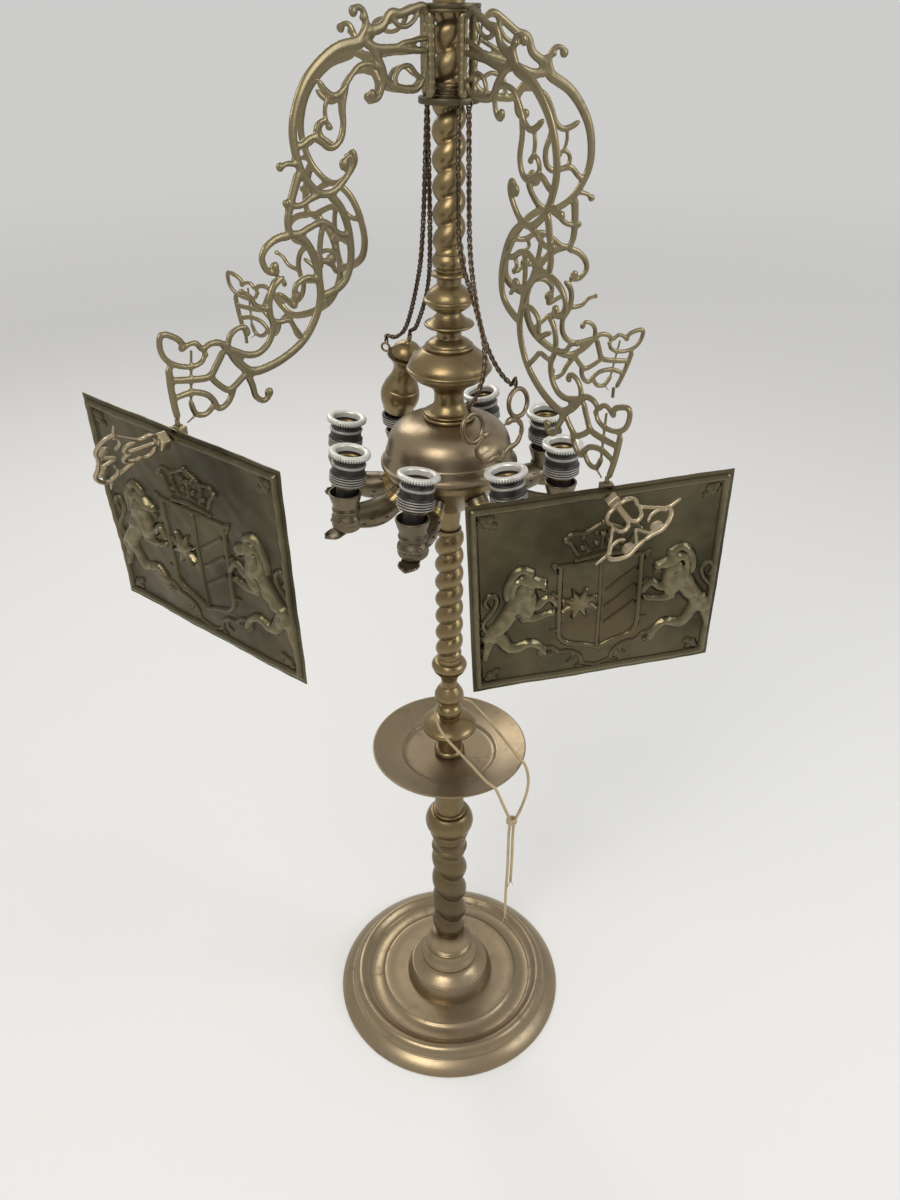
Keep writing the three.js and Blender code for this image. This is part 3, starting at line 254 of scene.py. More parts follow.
# Bars of one arm's scrollwork: (out, up) from its hinge, then the half widths at both ends, which
# SCROLL_BREADTH widens
SCROLLS = [
    ([(5, 26), (5, -26)], 2.6, 2.6),
    ([(5, 25), (14, 31), (25, 28), (42, 21), (55, 19), (63, 8), (76, 3), (84, 1)], 2.6, 3.6),
    ([(5, -2), (22, -4), (40, -5), (66, -9), (84, -6)], 2.2, 3.4),
    ([(5, 8), (20, 4), (35, 0), (44, -4)], 1.8, 1.6),
    ([(5, -24), (14, -34), (35, -36), (52, -33), (60, -22), (72, -10), (82, -6)], 2.6, 3.2),
    ([(20, 28), (24, 20), (33, 13), (44, 12), (54, 17)], 1.7, 1.7),
    ([(8, -25), (16, -22), (25, -17), (37, -20), (42, -28), (40, -35)], 1.7, 1.8),
    ([(78, -1), (90, -8), (112, -15), (130, -27), (145, -43), (154, -62), (157, -82), (151, -103),
      (140, -118), (124, -128), (108, -126), (95, -115), (88, -104), (90, -96), (97, -98)], 4.4, 1.9),
    ([(80, -6), (70, -12), (62, -22), (57, -33), (60, -45), (67, -49), (70, -45)], 2.8, 1.8),
    ([(90, -7), (84, 2), (83, 10), (88, 17), (97, 18)], 3.2, 1.6),
    ([(70, 1), (77, 5), (86, 11)], 3.0, 1.2),
    ([(61, -25), (73, -22), (87, -25), (97, -35), (105, -46), (114, -51), (124, -48), (133, -41)], 2.0, 2.4),
    ([(99, -38), (103, -56), (101, -74), (106, -87), (116, -91), (126, -87), (136, -85), (146, -91),
      (153, -94)], 2.4, 2.4),
    ([(127, -88), (132, -79), (128, -72), (121, -71), (118, -74)], 1.9, 1.5),
    ([(120, -50), (123, -60), (122, -71)], 1.4, 1.3),
    ([(122, -128), (134, -133), (145, -139), (160, -140)], 2.8, 1.8),
    ([(147, -110), (152, -107), (162, -107), (168, -110)], 2.0, 1.7),
    ([(148, -112), (153, -127), (157, -142), (158, -155), (154, -165)], 3.6, 2.6),
    ([(116, -127), (100, -137), (90, -150), (84, -165), (81, -182), (84, -198), (92, -207), (104, -213),
      (118, -217)], 3.2, 3.2),
    ([(157, -162), (140, -167), (128, -179), (120, -197), (116, -217), (121, -236), (134, -255),
      (155, -269), (176, -277), (192, -279), (205, -272), (221, -257)], 3.2, 3.2),
    ([(153, -164), (168, -166), (180, -173), (185, -183), (179, -193), (169, -195), (168, -191)], 3.0, 1.8),
    ([(85, -162), (98, -161), (110, -154), (121, -152), (134, -157), (145, -162), (157, -163)], 2.2, 2.6),
    ([(114, -150), (119, -160), (120, -180), (117, -207)], 2.2, 2.2),
    ([(101, -160), (106, -166), (103, -172)], 1.6, 1.4),
    ([(97, -196), (106, -187), (120, -184)], 1.8, 2.2),
    ([(117, -203), (130, -199), (141, -202), (147, -209), (146, -224), (157, -217), (167, -212)], 2.2, 2.0),
    ([(160, -198), (170, -205), (175, -217), (174, -230), (170, -240), (174, -254), (185, -263),
      (198, -264), (211, -260), (221, -256)], 2.6, 2.4),
    ([(173, -235), (164, -237), (152, -236), (145, -243), (136, -252)], 2.0, 2.0),
    ([(176, -226), (190, -222), (197, -214), (206, -210)], 2.2, 1.4),
    ([(219, -256), (217, -247), (210, -241), (201, -240), (196, -246)], 2.2, 1.6),
    ([(198, -279), (191, -292), (187, -302), (178, -307), (170, -303)], 2.8, 1.8),
    ([(219, -257), (227, -252), (237, -252), (245, -256), (251, -251), (258, -251), (264, -255)], 2.4, 1.6),
    ([(262, -253), (270, -246), (284, -242), (286, -252), (281, -262), (270, -268), (256, -270),
      (246, -267), (242, -261)], 2.2, 1.7),
    ([(223, -258), (230, -270), (238, -280), (256, -281), (276, -280)], 2.6, 2.4),
    ([(278, -268), (276, -285), (273, -300), (269, -314)], 2.6, 2.4),
    ([(256, -256), (256, -300)], 2.0, 2.0),
    ([(198, -280), (215, -293), (226, -289), (237, -280)], 2.4, 2.2),
    ([(210, -290), (217, -304), (227, -309), (233, -301), (241, -295), (256, -292), (275, -296)], 2.2, 2.2),
    ([(230, -303), (240, -312), (251, -311), (257, -299)], 2.0, 2.0),
    ([(249, -311), (260, -318)], 2.0, 0.9),
]
SCROLL_BREADTH = 1.42
SCROLL_GRAIN = 1.1
SCROLL_BALL_PROUD = 0.4
SCROLL_BALLS = [
    (97, -103, 6), (69, -45, 5), (98, 14, 5), (118, -75, 3.2), (161, -138, 3.8), (169, -110, 4.2),
    (171, -190, 5), (102, -173, 3.2), (106, -184, 6.5), (145, -216, 6), (265, -254, 3.6), (199, -245, 3.6),
    (172, -300, 5), (206, -210, 3), (87, 11, 3), (242, -261, 3),
]

# Screens: turn of the clip, lean and roll of the sheet, sideways offset, turn and lean of the stud
SCREENS = {
    "left": (-38.8, -3.3, -2.2, 2, -52, -4),
    "right": (8.2, -4.9, 3.7, -6, 17, -9),
}
SCREEN_WIDTH = 251
SCREEN_HEIGHT = 224
SCREEN_ABOVE = 7
CLIP = (12, 10, 13)
CLIP_EDGE = 0.9
CLIP_RING = (3.6, 1.0)
SCREEN_GAP = 0.3
SCREEN_SHEET = 1.4
SHEET_GRID = (208, 186)
RELIEF_MIDDLE = -6
STUD_DROP = 2
STUD_RADIUS = 3
NUT = (9, 12)
NUT_EDGE = 1.1

# Pierced ornament: half of its bars, mirrored about the stud's line
ORNAMENT_BARS = [
    ([(4, 3), (4, 9), (8, 14), (13, 15.5), (18, 14), (22, 15.5), (28, 20), (35, 26), (42, 33), (43, 46)],
     2.4, 1.0),
    ([(42, 33), (49, 32), (55, 25), (57.5, 17), (55.5, 8), (55, 0)], 2.1, 1.8),
    ([(39, 0), (47, 4), (55, 8)], 1.5, 1.6),
    ([(4, 1), (12, 1), (22, 1.2), (29, 2), (32.5, 6.5), (30, 11.5), (25, 13.5), (20, 14.5)], 2.0, 1.8),
    ([(41, 12), (37, 18), (38, 26), (44, 31.5)], 0.9, 1.8),
]
ORNAMENT_BALL = (51.5, 15, 6.6)
ORNAMENT_BREADTH = 1.1
ORNAMENT_GRAIN = 0.6
ORNAMENT_ROLL = {"left": 56, "right": 39}

# Raised work on the screens, from the clip: points, radii at both ends, height
LION = [
    ([(-76, -84), (-68, -88), (-60, -90)], 9, 5.5, 5.6),
    ([(-62, -94), (-57, -98)], 3.6, 2.4, 3.2),
    ([(-72, -76), (-81, -71), (-90, -78), (-95, -90), (-95, -101)], 5.2, 4.2, 4.4),
    ([(-77, -82), (-86, -84), (-89, -94), (-88, -106)], 5.0, 4.2, 5.0),
    ([(-80, -92), (-82, -100), (-80, -110)], 5.5, 4.5, 5.4),
    ([(-76, -98), (-74, -110), (-76, -122)], 10, 9.5, 5.8),
    ([(-82, -104), (-94, -124), (-107, -142)], 12, 9, 6.2),
    ([(-106, -141), (-112, -149)], 11, 9.5, 6.4),
    ([(-76, -116), (-65, -117), (-55, -109), (-49, -113), (-47, -118)], 5.8, 3.2, 4.4),
    ([(-78, -130), (-66, -131), (-50, -127)], 5.6, 3.4, 4.2),
    ([(-112, -150), (-116, -163), (-118, -174)], 7, 3.2, 4.8),
    ([(-103, -148), (-93, -166), (-82, -165), (-72, -162), (-62, -169), (-57, -178)], 8, 3.4, 4.8),
    ([(-115, -142), (-119, -128), (-108, -112), (-105, -100), (-111, -94), (-117, -101), (-114, -109)],
     2.8, 2.4, 3.2),
]
LEAFAGE = [
    ([(-44, -180), (-30, -182), (-20, -190), (-17, -200), (-4, -205)], 3, 2, 2.2),
    ([(-44, -178), (-52, -172), (-60, -172), (-63, -178), (-57, -183), (-52, -180)], 2.6, 2.2, 2.6),
    ([(-30, -182), (-27, -190), (-33, -195)], 2.4, 1.2, 1.8),
    ([(-17, -199), (-25, -203)], 2.2, 1, 1.6),
    ([(-44, -152), (-51, -150)], 2.6, 1.6, 2.2),
    ([(-44, -110), (-50, -104)], 2.4, 1.6, 2.2),
]
SHIELD = [
    ([(-43, -74), (-43, -150), (-41, -162), (-34, -170), (-16, -176), (-2.5, -182)], 2.8, 2.8, 3.0),
    ([(-50, -71), (-43, -73), (-2.5, -74)], 2.6, 2.0, 2.8),
    ([(-50, -71), (-47, -80)], 2.4, 1.4, 2.4),
    ([(-2.5, -74), (-2.5, -181)], 2.0, 2.0, 2.4),
]
CROWN = [
    ([(-28, -69), (-2.5, -66)], 2.4, 2.6, 2.6),
    ([(-26, -62), (-2.5, -59)], 1.6, 1.8, 2.0),
    ([(-27, -62), (-33, -50), (-38, -44), (-33, -38), (-20, -39), (-8, -33), (-2.5, -31)], 2.2, 2.2, 3.0),
    ([(-16, -60), (-20, -52), (-22, -46)], 1.8, 1.4, 2.6),
    ([(-2.5, -58), (-2.5, -46)], 1.8, 1.6, 2.6),
]
CROWN_PEARLS = [
    (-38.5, -44, 3.4, 3.6), (-22, -55, 3, 3.4), (-21.5, -43, 2.8, 3.2), (-9, -52, 3, 3.4), (-9, -41, 2.6, 3),
]
TOP_PEARLS = [(-2.5, -43, 3.2, 3.6), (-2.5, -30, 3, 3.4)]
SHIELD_MIDDLE = -2.5
STAR = (-23, -121)
BEND_DROPS = (-96, -116, -136)
BORDER_IN = (6.5, 7.5)

# Spouts and lampholders: azimuth and the lampholder's lean along X and Y, in degrees
LAMP_RADIUS = 132
LAMPS = [
    (25.4, -1.5, -5.9), (66.5, -7.8, -3.5), (116, -3, -8), (161.8, 6.6, 0.9),
    (206, 8, 0.8), (250.5, 7.8, 6.2), (298, -7.2, 2.8), (342, -0.8, -1.3),
]
BARE_LAMP = 3
SPOUT_SEAT = 68
STEM_RADIUS = 11.5
GAP = 0.3
NOZZLE = [
    (0, 32.5), (9, 32), (13.5, 33.5), (16.4, 36.5), (17.4, 40.5), (16.8, 44), (17.4, 46), (17.4, 48),
    (16, 50.5), (14.4, 53), (14.2, 55), (15.4, 56.5), (16.2, 58.5), (15.8, 60.5), (14.8, 62.5),
    (15.2, 66), (17, 71), (18.2, 76), (18.9, 78.4), (18.5, 79.7), (17, 79.7), (16.2, 78), (15.9, 74),
    (15.9, 68), (0, 68),
]
ELBOW = [(60.3, 63.6), (66, 58), (74, 52), (86, 47), (102, 44.5), (126, 47)]
ELBOW_RADIUS = 13.356
ELBOW_RINGS = (0.24, 0.29, 0.34, 0.39)
LIP = (17.3, 0.7)
LIP_HEIGHT = 79.2
SCALES = 46
SCALE = (3.2, 1.0, 1.0)
SHELLS = (-20, -48, 20, 48)
SHELL = (3.4, 3.4, 2.6)
SHELL_CIRCLE = 15.4
TONGUE_ROOT = 4
TONGUE_LENGTH = 23
TONGUE_WIDTH = 12.5
TONGUE_HEIGHT = 32
TONGUE_WALL = 2.2
TONGUE_BEADS = 15
TONGUE_BEAD = 1.5
THREADS = [22.9 + 2.95 * i for i in range(4)]
HOLDER = [
    (0, 0), (11.5, 0), (11.5, 18), (14, 19.6), (17.2, 21.4), (18.7, 22.2),
    *[p for z in THREADS for p in ((20, z), (20.4, z + 0.3), (20.4, z + 1.5), (19, z + 1.9), (19, z + 2.6))],
    (18.7, 34.7),
]
THREAD_CREST = 19.7
SHELL_BEAD = (42.8, 45.6, 18.3)
SHELL_TOP = 51.7
HOLDER_SHELL = [
    (18.2, 35.4), (18.2, 42.4), (19.2, 43.2), (19.4, 44.2), (19.2, 45.2), (17.6, 46), (16.6, 47.4),
    (16.8, 50.2), (18.2, 51.4), (18.2, SHELL_TOP), (14.9, SHELL_TOP),
]
SOCKET = [(14.9, 20), (14, 17), (11, 16), (0, 16)]
CONTACT = (4.2, 16, 18.4)
BARE_SOCKET = [(17, 34.7), (16.4, 33.8), (16.4, 26), (13.5, 25), (13.5, 16), (0, 16)]
SOCKET_FOOT = 18.5
SOCKET_THREADS = 9
SOCKET_PITCH = 3.4
SOCKET_WAVE = ((0, 14.3), (0.25, 13.6), (0.5, 12.9), (0.75, 13.6))
SOCKET_WALL = 14.8
KNURL_DEPTH = 0.05
KNURL_FROM = 21.4
KNURL_HEIGHTS = (0.8, 6)
DARK_KNURL_FROM = 21.2
DARK_KNURL_HEIGHT = 3.2
SHADE_RING = [
    (15.6, 0), (18, 0), (20.6, 0.9), (22.6, 1.8), (23.25, 2.8), (23.25, 5.4), (22.4, 6.7), (20.6, 7.5),
    (18, 7.4), (16.3, 6.6), (15.6, 5.4),
]

# Snuffer, along its own axis
SNUFFER_LEAN = (10, -11.5)
SNUFFER_FOOT = 18.3
SNUFFER_EYE = (23.5 + 5 - 1, 160, 77, 5, 1.4)
SNUFFER = [
    (0, 24), (9, 22.5), (14, 17), (15.5, 11), (15.5, 0), (17.4, -0.2), (18.3, 0.6), (19.2, 4), (21.4, 9),
    (23.2, 15), (24, 20), (23.8, 25), (22.9, 29.4), (21.9, 32.2), (20.9, 32.9), (20.9, 33.7),
    (21.3, 34.3), (19.6, 38.6), (16.8, 43.6), (14.4, 49.5), (13.2, 55.5), (13.4, 60), (14.8, 64.5),
    (17.6, 69), (21, 73), (23.4, 75.2), (23.5, 76.4), (22.4, 76.6), (19.4, 73.4), (16, 71.2), (14, 71),
    (14, 77.4), (18.2, 77.4), (18.7, 78.4), (18, 81.5), (16, 86), (12.6, 89.6), (8, 92.3), (4.4, 93.4),
    (3.9, 94.6), (2.3, 95.2), (2.1, 97), (3.2, 98.4), (2.6, 99.8), (0, 100),
]

# Wick trimmer, in its own plane
TRIMMER_ACROSS = (0.723, 0.685, 0.084)
TRIMMER_UPWARD = (-0.166, 0.054, 0.985)
TRIMMER_RING = (-37.5, 56, 14.9, 2.1)
TRIMMER_LAYER = 1.55
TRIMMER_HALVES = (("left", 1, TRIMMER_LAYER), ("right", -1, -TRIMMER_LAYER))
TRIMMER_RING_SWELL = 0.5
SNAKE_HEAD = (-20.5, 41.6)
SNAKE_HEAD_TURN = -6
SNAKE_SKULL = (7.4, 4.0, 2.5)
SNAKE_SNOUT = (3.4, 1.3, 1.2)
SNAKE_EYE = (0.7, 0.7, 0.6)
PIVOT_DISC = (4.6, -1.4, 1.4)
PIVOT_PIN = (2.0, -5.4, 0)
PIVOT_NUT = (3.6, -6.4, -4.85)
PIVOT_CAP = [(0, 0.8), (3.4, 0.8), (3.1, 2.1), (1.6, 2.7), (0, 2.8)]
SNAKE = [
    (10, -28), (6, -13), (0, 0), (-3, 7), (-11, 13), (-25, 13.5), (-35, 21), (-37.5, 31), (-30, 39.5),
    (-18, 42),
]

# Chains, from the hub's lower ring to the tools
CHAIN_ROUTES = {
    "trimmer_chain_left": [
        (19, -35, 0.43), (24, -60, 0.62), (32, -80, 0.77), (31, -92, 0.87), (21, -98, 0.965),
    ],
    "trimmer_chain_right": [
        (9, -28, 0.45), (24, -34, 0.67), (38, -40, 0.84), (52, -44, 0.94), (64, -46.4, 0.985),
    ],
    "snuffer_chain_eye": [(-27, 20, 0.48), (-34, 50, 0.7), (-46, 84, 0.9), (-58, 97, 0.965)],
    "snuffer_chain_knob": [(-19, 22, 0.5), (-22, 52, 0.74), (-34, 82, 0.93)],
}
CHAIN_STARTS = {
    "trimmer_chain_left": -46,
    "trimmer_chain_right": -72,
    "snuffer_chain_eye": 142,
    "snuffer_chain_knob": 142,
}
CHAIN_CIRCLE = 26
CHAIN_RING = (3.9, 0.7)
CHAIN_RING_RISE = 1.6
CHAIN_RUN_IN = 8
LINK_STRETCH = 1.75

# Chain pieces: their routes and the body that carries their lower end
CHAINS = {
    "trimmer_chain_left": (["trimmer_chain_left"], "trimmer_half_left"),
    "trimmer_chain_right": (["trimmer_chain_right"], "trimmer_half_left"),
    "snuffer_chain": (["snuffer_chain_eye", "snuffer_chain_knob"], "snuffer"),
}

# Twin flex over the tray
FLEX_ROUTES = {
    "cord_front": [
        (-11.9, -5, 600.3), (-16, -7, 600), (-20, -15, 592), (-15, -29, 578.5), (-5, -41, 568), (9, -53, 557),
        (28, -69, 543), (45, -86, 532), (56, -95, 528), (62, -101, 519), (69, -100, 498), (77, -91, 470),
        (80.5, -83, 450), (80, -81.5, 420), (80.5, -81, 360), (79.5, -82, 300), (80, -82, 250),
    ],
    "cord_side": [
        (12.6, 2.5, 600.3), (18, 4, 600), (30, 7, 592), (46, 4, 574), (64, -8, 556), (82, -27, 541),
        (94, -43, 532), (102, -53, 527), (106, -61, 510), (104, -67, 490), (96, -75, 468), (89, -80, 454),
        (86.4, -80.5, 442), (86, -80, 410), (86.5, -79, 370), (86, -79, 325),
    ],
}
FLEX_KNOT = (83.2, -80.8, 451)
KNOT_TURNS = ((-3.4, 14), (0, -10), (3.4, 6))
KNOT_RING = (4.9, 1.7)
BARE_ENDS = ((-1, 11), (1, 8))
BARE_WIRE = 0.55

# The photograph's camera, in metres and degrees, and its lens in millimetres
CAMERA_PLACE = (-0.0416, -1.0213, 1.4250)
CAMERA_TURN = (57.16, -2.388)
CAMERA_LENS = 28.59

# Lamps in metres: name, power setting, size, place, target, colour
LIGHTS = [
    ("key", "key_power", 1.6, (-1.1, -1.9, 3.1), (0, 0, 0.8), (1.0, 0.96, 0.90)),
    ("fill", "fill_power", 1.3, (2.4, -0.7, 2.0), (0, 0, 0.8), (0.94, 0.97, 1.0)),
    ("back", "fill_power", 1.3, (-0.9, 2.3, 2.5), (0, 0, 0.9), (1.0, 0.97, 0.93)),
]


# Settings


def length_prop(name, description, default):
    return bpy.props.FloatProperty(
        name=name, description=description, default=default, unit="LENGTH", min=0.0
    )


def colour_prop(name, description, default):
    return bpy.props.FloatVectorProperty(
        name=name, description=description, default=default, size=3, subtype="COLOR", min=0.0, max=1.0
    )


class ShapeSettings(bpy.types.PropertyGroup):
    """Sizes of the small work"""

    arm_thickness: length_prop("Arm thickness", "Depth of the scrollwork bars", 0.0045)
    sheet_thickness: length_prop("Screen sheet", "Thickness of the embossed sheet", 0.0010)
    ornament_thickness: length_prop("Ornament thickness", "Depth of the pierced ornament's bars", 0.0036)
    chain_wire: length_prop("Chain wire", "Radius of a chain link's wire", 0.00085)
    chain_width: length_prop("Chain width", "Radius over a chain's links", 0.0029)
    link_pitch: length_prop("Link pitch", "Distance from one link to the next", 0.0036)
    flex_diameter: length_prop("Flex diameter", "Diameter of one core of the flex", 0.004)
    knurls: bpy.props.IntProperty(name="Knurls", description="Ridges round a shade ring", default=48, min=8)
    lathe_steps: bpy.props.IntProperty(
        name="Lathe steps", description="Faces round a turned piece", default=72, min=16
    )


class FinishSettings(bpy.types.PropertyGroup):
    """Colours of the finishes"""

    brass: colour_prop("Brass", "Main colour of the aged brass", (0.190, 0.144, 0.078))
    brass_dark: colour_prop("Tarnish", "Colour of the tarnish on the brass", (0.070, 0.053, 0.034))
    pale_brass: colour_prop("Pale brass", "Colour of the arms, clips and hub", (0.195, 0.165, 0.103))
    screen: colour_prop("Screens", "Colour of the embossed sheets", (0.092, 0.079, 0.045))
    holder: colour_prop("Lampholder", "Colour of the lampholder shells", (0.022, 0.0185, 0.0145))
    zinc: colour_prop("Shade ring", "Colour of the shade rings", (0.72, 0.71, 0.66))
    chain: colour_prop("Chain", "Colour of the chains", (0.105, 0.078, 0.052))
    flex: colour_prop("Flex", "Colour of the flex", (0.46, 0.36, 0.20))
    steel: colour_prop("Steel", "Colour of the rod and the foot plate", (0.30, 0.29, 0.28))


class StageSettings(bpy.types.PropertyGroup):
    """Light and floor"""

    floor: colour_prop("Floor", "Colour of the floor", (0.80, 0.80, 0.79))
    world_level: bpy.props.FloatProperty(
        name="World level", description="Strength of the even light", default=0.60
    )
    key_power: bpy.props.FloatProperty(
        name="Key lamp", description="Power of the main lamp", default=48.0, unit="POWER"
    )
    fill_power: bpy.props.FloatProperty(
        name="Fill lamps", description="Power of the side and back lamps", default=20.0, unit="POWER"
    )
    floor_size: length_prop("Floor size", "Radius of the floor", 200.0)


# Shaders


class Sock:
    """A shader socket; arithmetic on it adds Math nodes."""

    def __init__(self, shade, socket):
        self.shade = shade
        self.socket = socket

    def _math(self, operation, *values):
        return self.shade.node("ShaderNodeMath", {"operation": operation}, dict(enumerate(values)))

    def __add__(self, other):
        return self._math("ADD", self, other)

    def __mul__(self, other):
        return self._math("MULTIPLY", self, other)

    def __sub__(self, other):
        return self._math("SUBTRACT", self, other)

    def __rsub__(self, other):
        return self._math("SUBTRACT", other, self)

    __radd__ = __add__
    __rmul__ = __mul__

    def clamped(self):
        return self.shade.node("ShaderNodeClamp", {}, {"Value": self})


class Shade:
    """Builds one material's nodes."""

    def __init__(self, name):
        self.material = bpy.data.materials.new(name)
        self.material.use_nodes = True
        self.tree = self.material.node_tree
        self.tree.nodes.clear()
        self.surface = self.tree.nodes.new("ShaderNodeBsdfPrincipled")
        output = self.tree.nodes.new("ShaderNodeOutputMaterial")
        self.tree.links.new(self.surface.outputs["BSDF"], output.inputs["Surface"])

    def set(self, sockets, key, value):
        if isinstance(value, Sock):
            self.tree.links.new(value.socket, sockets[key])
        else:
            sockets[key].default_value = value

    def node(self, kind, settings, inputs, output=0):
        node = self.tree.nodes.new(kind)
        for key, value in settings.items():
            setattr(node, key, value)
        for key, value in inputs.items():
            self.set(node.inputs, key, value)
        return Sock(self, node.outputs[output])

    def place(self, stretch=(1, 1, 1)):
        coordinates = self.node("ShaderNodeTexCoord", {}, {}, "Object")
        return self.node("ShaderNodeMapping", {}, {"Vector": coordinates, "Scale": stretch})

    def noise(self, scale, detail=3.0, stretch=(1, 1, 1), rough=0.55):
        inputs = {"Vector": self.place(stretch), "Scale": scale, "Detail": detail, "Roughness": rough}
        return self.node("ShaderNodeTexNoise", {}, inputs, "Fac")

    def between(self, value, start, end):
        inputs = {"Value": value, "From Min": start, "From Max": end}
        return self.node("ShaderNodeMapRange", {"interpolation_type": "SMOOTHSTEP"}, inputs)

    def mix(self, factor, first, second):
        first, second = (c if isinstance(c, Sock) else (*c, 1) for c in (first, second))
        return self.node("ShaderNodeMix", {"data_type": "RGBA"}, {0: factor, 6: first, 7: second}, 2)

    def bump(self, height, strength, distance):
        inputs = {"Height": height, "Strength": strength, "Distance": distance}
        return self.node("ShaderNodeBump", {}, inputs)

    def finish(self, colour, roughness, metallic, normal=None):
        """Sets what the surface shows and gives the material."""
        self.set(self.surface.inputs, "Base Color", colour)
        self.set(self.surface.inputs, "Roughness", roughness)
        self.set(self.surface.inputs, "Metallic", metallic)
        if normal:
            self.set(self.surface.inputs, "Normal", normal)
        return self.material


def toned(colour, share):
    """The colour made darker or lighter by a share."""
    return tuple(min(1.0, c * share) for c in colour)


def aged_brass(name, colour, tarnish, rough, lathe=0.0, pits=0.25, low_painted_shade=0.0):
    """Brass with soft tarnish, fine pits and, on turned work, faint tool rings; painted shade darkens it low
    down if asked.
    """
    s = Shade(name)
    clouds = s.between(s.noise(11, 4), 0.40, 0.68)
    stains = s.between(s.noise(46, 5, rough=0.7), 0.52, 0.72)
    specks = s.between(s.noise(420, 2), 0.62, 0.74)
    bright = tuple(min(1.0, c * k) for c, k in zip(colour, (1.30, 1.26, 1.12)))
    base = s.mix(clouds * 0.55, bright, colour)
    base = s.mix((stains * 0.42 + specks * 0.25).clamped(), base, tarnish)
    # Painted shade: the brass grows darker towards the bottom, down to a deep tarnish tone
    if low_painted_shade:
        height = s.node("ShaderNodeSeparateXYZ", {}, {"Vector": s.place()}, "Z")
        base = s.mix(s.between(height, 0.62, 0.02) * low_painted_shade, base, toned(tarnish, 0.62))
    grain = s.noise(900, 2)
    uneven = grain * 0.25 + specks * -0.5 * pits + stains * 0.15
    if lathe:
        uneven = uneven + s.noise(90, 2, (0.02, 0.02, 9)) * lathe
    roughness = (clouds * 0.10 + stains * 0.16 + grain * 0.06 + (rough - 0.10)).clamped()
    metallic = (0.88 - stains * 0.22 - specks * 0.2).clamped()
    return s.finish(base, roughness, metallic, s.bump(uneven, 0.35, 0.0004))


def embossed_brass(name, colour, tarnish):
    """Thin beaten sheet: hammer dimples, olive tarnish, red patina with a painted red reflection, grime with
    painted shade round the relief, rubbed relief with a painted highlight.
    """
    s = Shade(name)
    clouds = s.between(s.noise(9, 5), 0.36, 0.66)
    blotch = s.between(s.noise(30, 5, rough=0.7), 0.50, 0.70)
    red_patina_and_reflection = s.between(s.noise(6, 3), 0.50, 0.72)
    relief_share = s.node("ShaderNodeAttribute", {"attribute_name": "relief"}, {}, "Fac")
    base = s.mix(clouds, toned(colour, 1.25), toned(colour, 0.55))
    # Reddish patches: partly patina, partly a painted reflection of red light
    base = s.mix(red_patina_and_reflection * 0.35, base, (0.13, 0.074, 0.040))
    base = s.mix(blotch * 0.55, base, tarnish)
    # Dark ring at the foot of the raised work: partly grime in the hollows, partly painted shade
    grime = s.between(relief_share, 0.0, 0.04) * s.between(relief_share, 0.22, 0.08)
    base = s.mix(grime * 0.75, base, toned(tarnish, 0.35))
    # Raised work lighter towards its crests: partly rubbed wear, partly a painted highlight
    base = s.mix(s.between(relief_share, 0.18, 0.95) * 0.80, base, toned(colour, 2.5))
    uneven = s.noise(75, 2) * 0.9 + s.noise(640, 2) * 0.16
    roughness = (clouds * 0.12 + blotch * 0.14 + 0.25 - relief_share * 0.06).clamped()
    metallic = (1.0 - blotch * 0.22).clamped()
    return s.finish(base, roughness, metallic, s.bump(uneven, 0.42, 0.0007))


def dull_shell(name, colour):
    """Dark moulded shell with dust and faint scuffs."""
    s = Shade(name)
    dust = s.between(s.noise(60, 5), 0.45, 0.75)
    scuffs = s.between(s.noise(260, 3, (1, 1, 0.3)), 0.56, 0.72)
    base = s.mix(dust * 0.35, colour, tuple(c * 2.1 + 0.01 for c in colour))
    base = s.mix(scuffs * 0.35, base, tuple(c * 3 + 0.02 for c in colour))
    return s.finish(base, (dust * 0.2 + 0.42).clamped(), 0.15, s.bump(dust + scuffs * 0.5, 0.2, 0.0002))


def zinc_white(name, colour):
    """Pale cast zinc with grey wear and grime."""
    s = Shade(name)
    grime = s.between(s.noise(120, 5, rough=0.7), 0.54, 0.72)
    wear = s.between(s.noise(38, 3), 0.5, 0.8)
    base = s.mix(wear * 0.4, colour, toned(colour, 0.72))
    base = s.mix(grime * 0.6, base, (0.22, 0.20, 0.17))
    uneven = grime * -0.6 + s.noise(800, 2) * 0.3
    return s.finish(base, (grime * 0.2 + 0.36).clamped(), 0.35, s.bump(uneven, 0.3, 0.0003))


def dark_links(name, colour):
    """Old brass chain with brown rust and rubbed links."""
    s = Shade(name)
    rub = s.between(s.noise(340, 3), 0.48, 0.7)
    rust = s.between(s.noise(70, 4), 0.48, 0.68)
    base = s.mix(rust * 0.5, colour, (0.115, 0.052, 0.022))
    base = s.mix(rub * 0.45, base, toned(colour, 3.2))
    return s.finish(base, (rust * 0.2 + 0.36).clamped(), 0.9, s.bump(rub, 0.25, 0.0002))


def flex_cover(name, colour):
    """Old pale flex with fine weave and brown grime."""
    s = Shade(name)
    grime = s.between(s.noise(26, 5, rough=0.7), 0.45, 0.72)
    weave = s.noise(1500, 1, (1, 1, 0.4))
    base = s.mix(grime * 0.6, colour, toned(colour, 0.42))
    base = s.mix(weave * 0.35, base, toned(colour, 0.7))
    return s.finish(base, 0.62, 0.0, s.bump(weave, 0.35, 0.0003))


def plain_steel(name, colour):
    """Bare steel with light rust."""
    s = Shade(name)
    rust = s.between(s.noise(40, 5), 0.52, 0.72)
    grain = s.noise(500, 2, (1, 1, 0.2))
    base = s.mix(rust * 0.5, colour, (0.16, 0.09, 0.05))
    roughness = (rust * 0.3 + grain * 0.1 + 0.34).clamped()
    return s.finish(base, roughness, (1.0 - rust * 0.4).clamped(), s.bump(grain + rust, 0.2, 0.0003))


FINISHES = {}

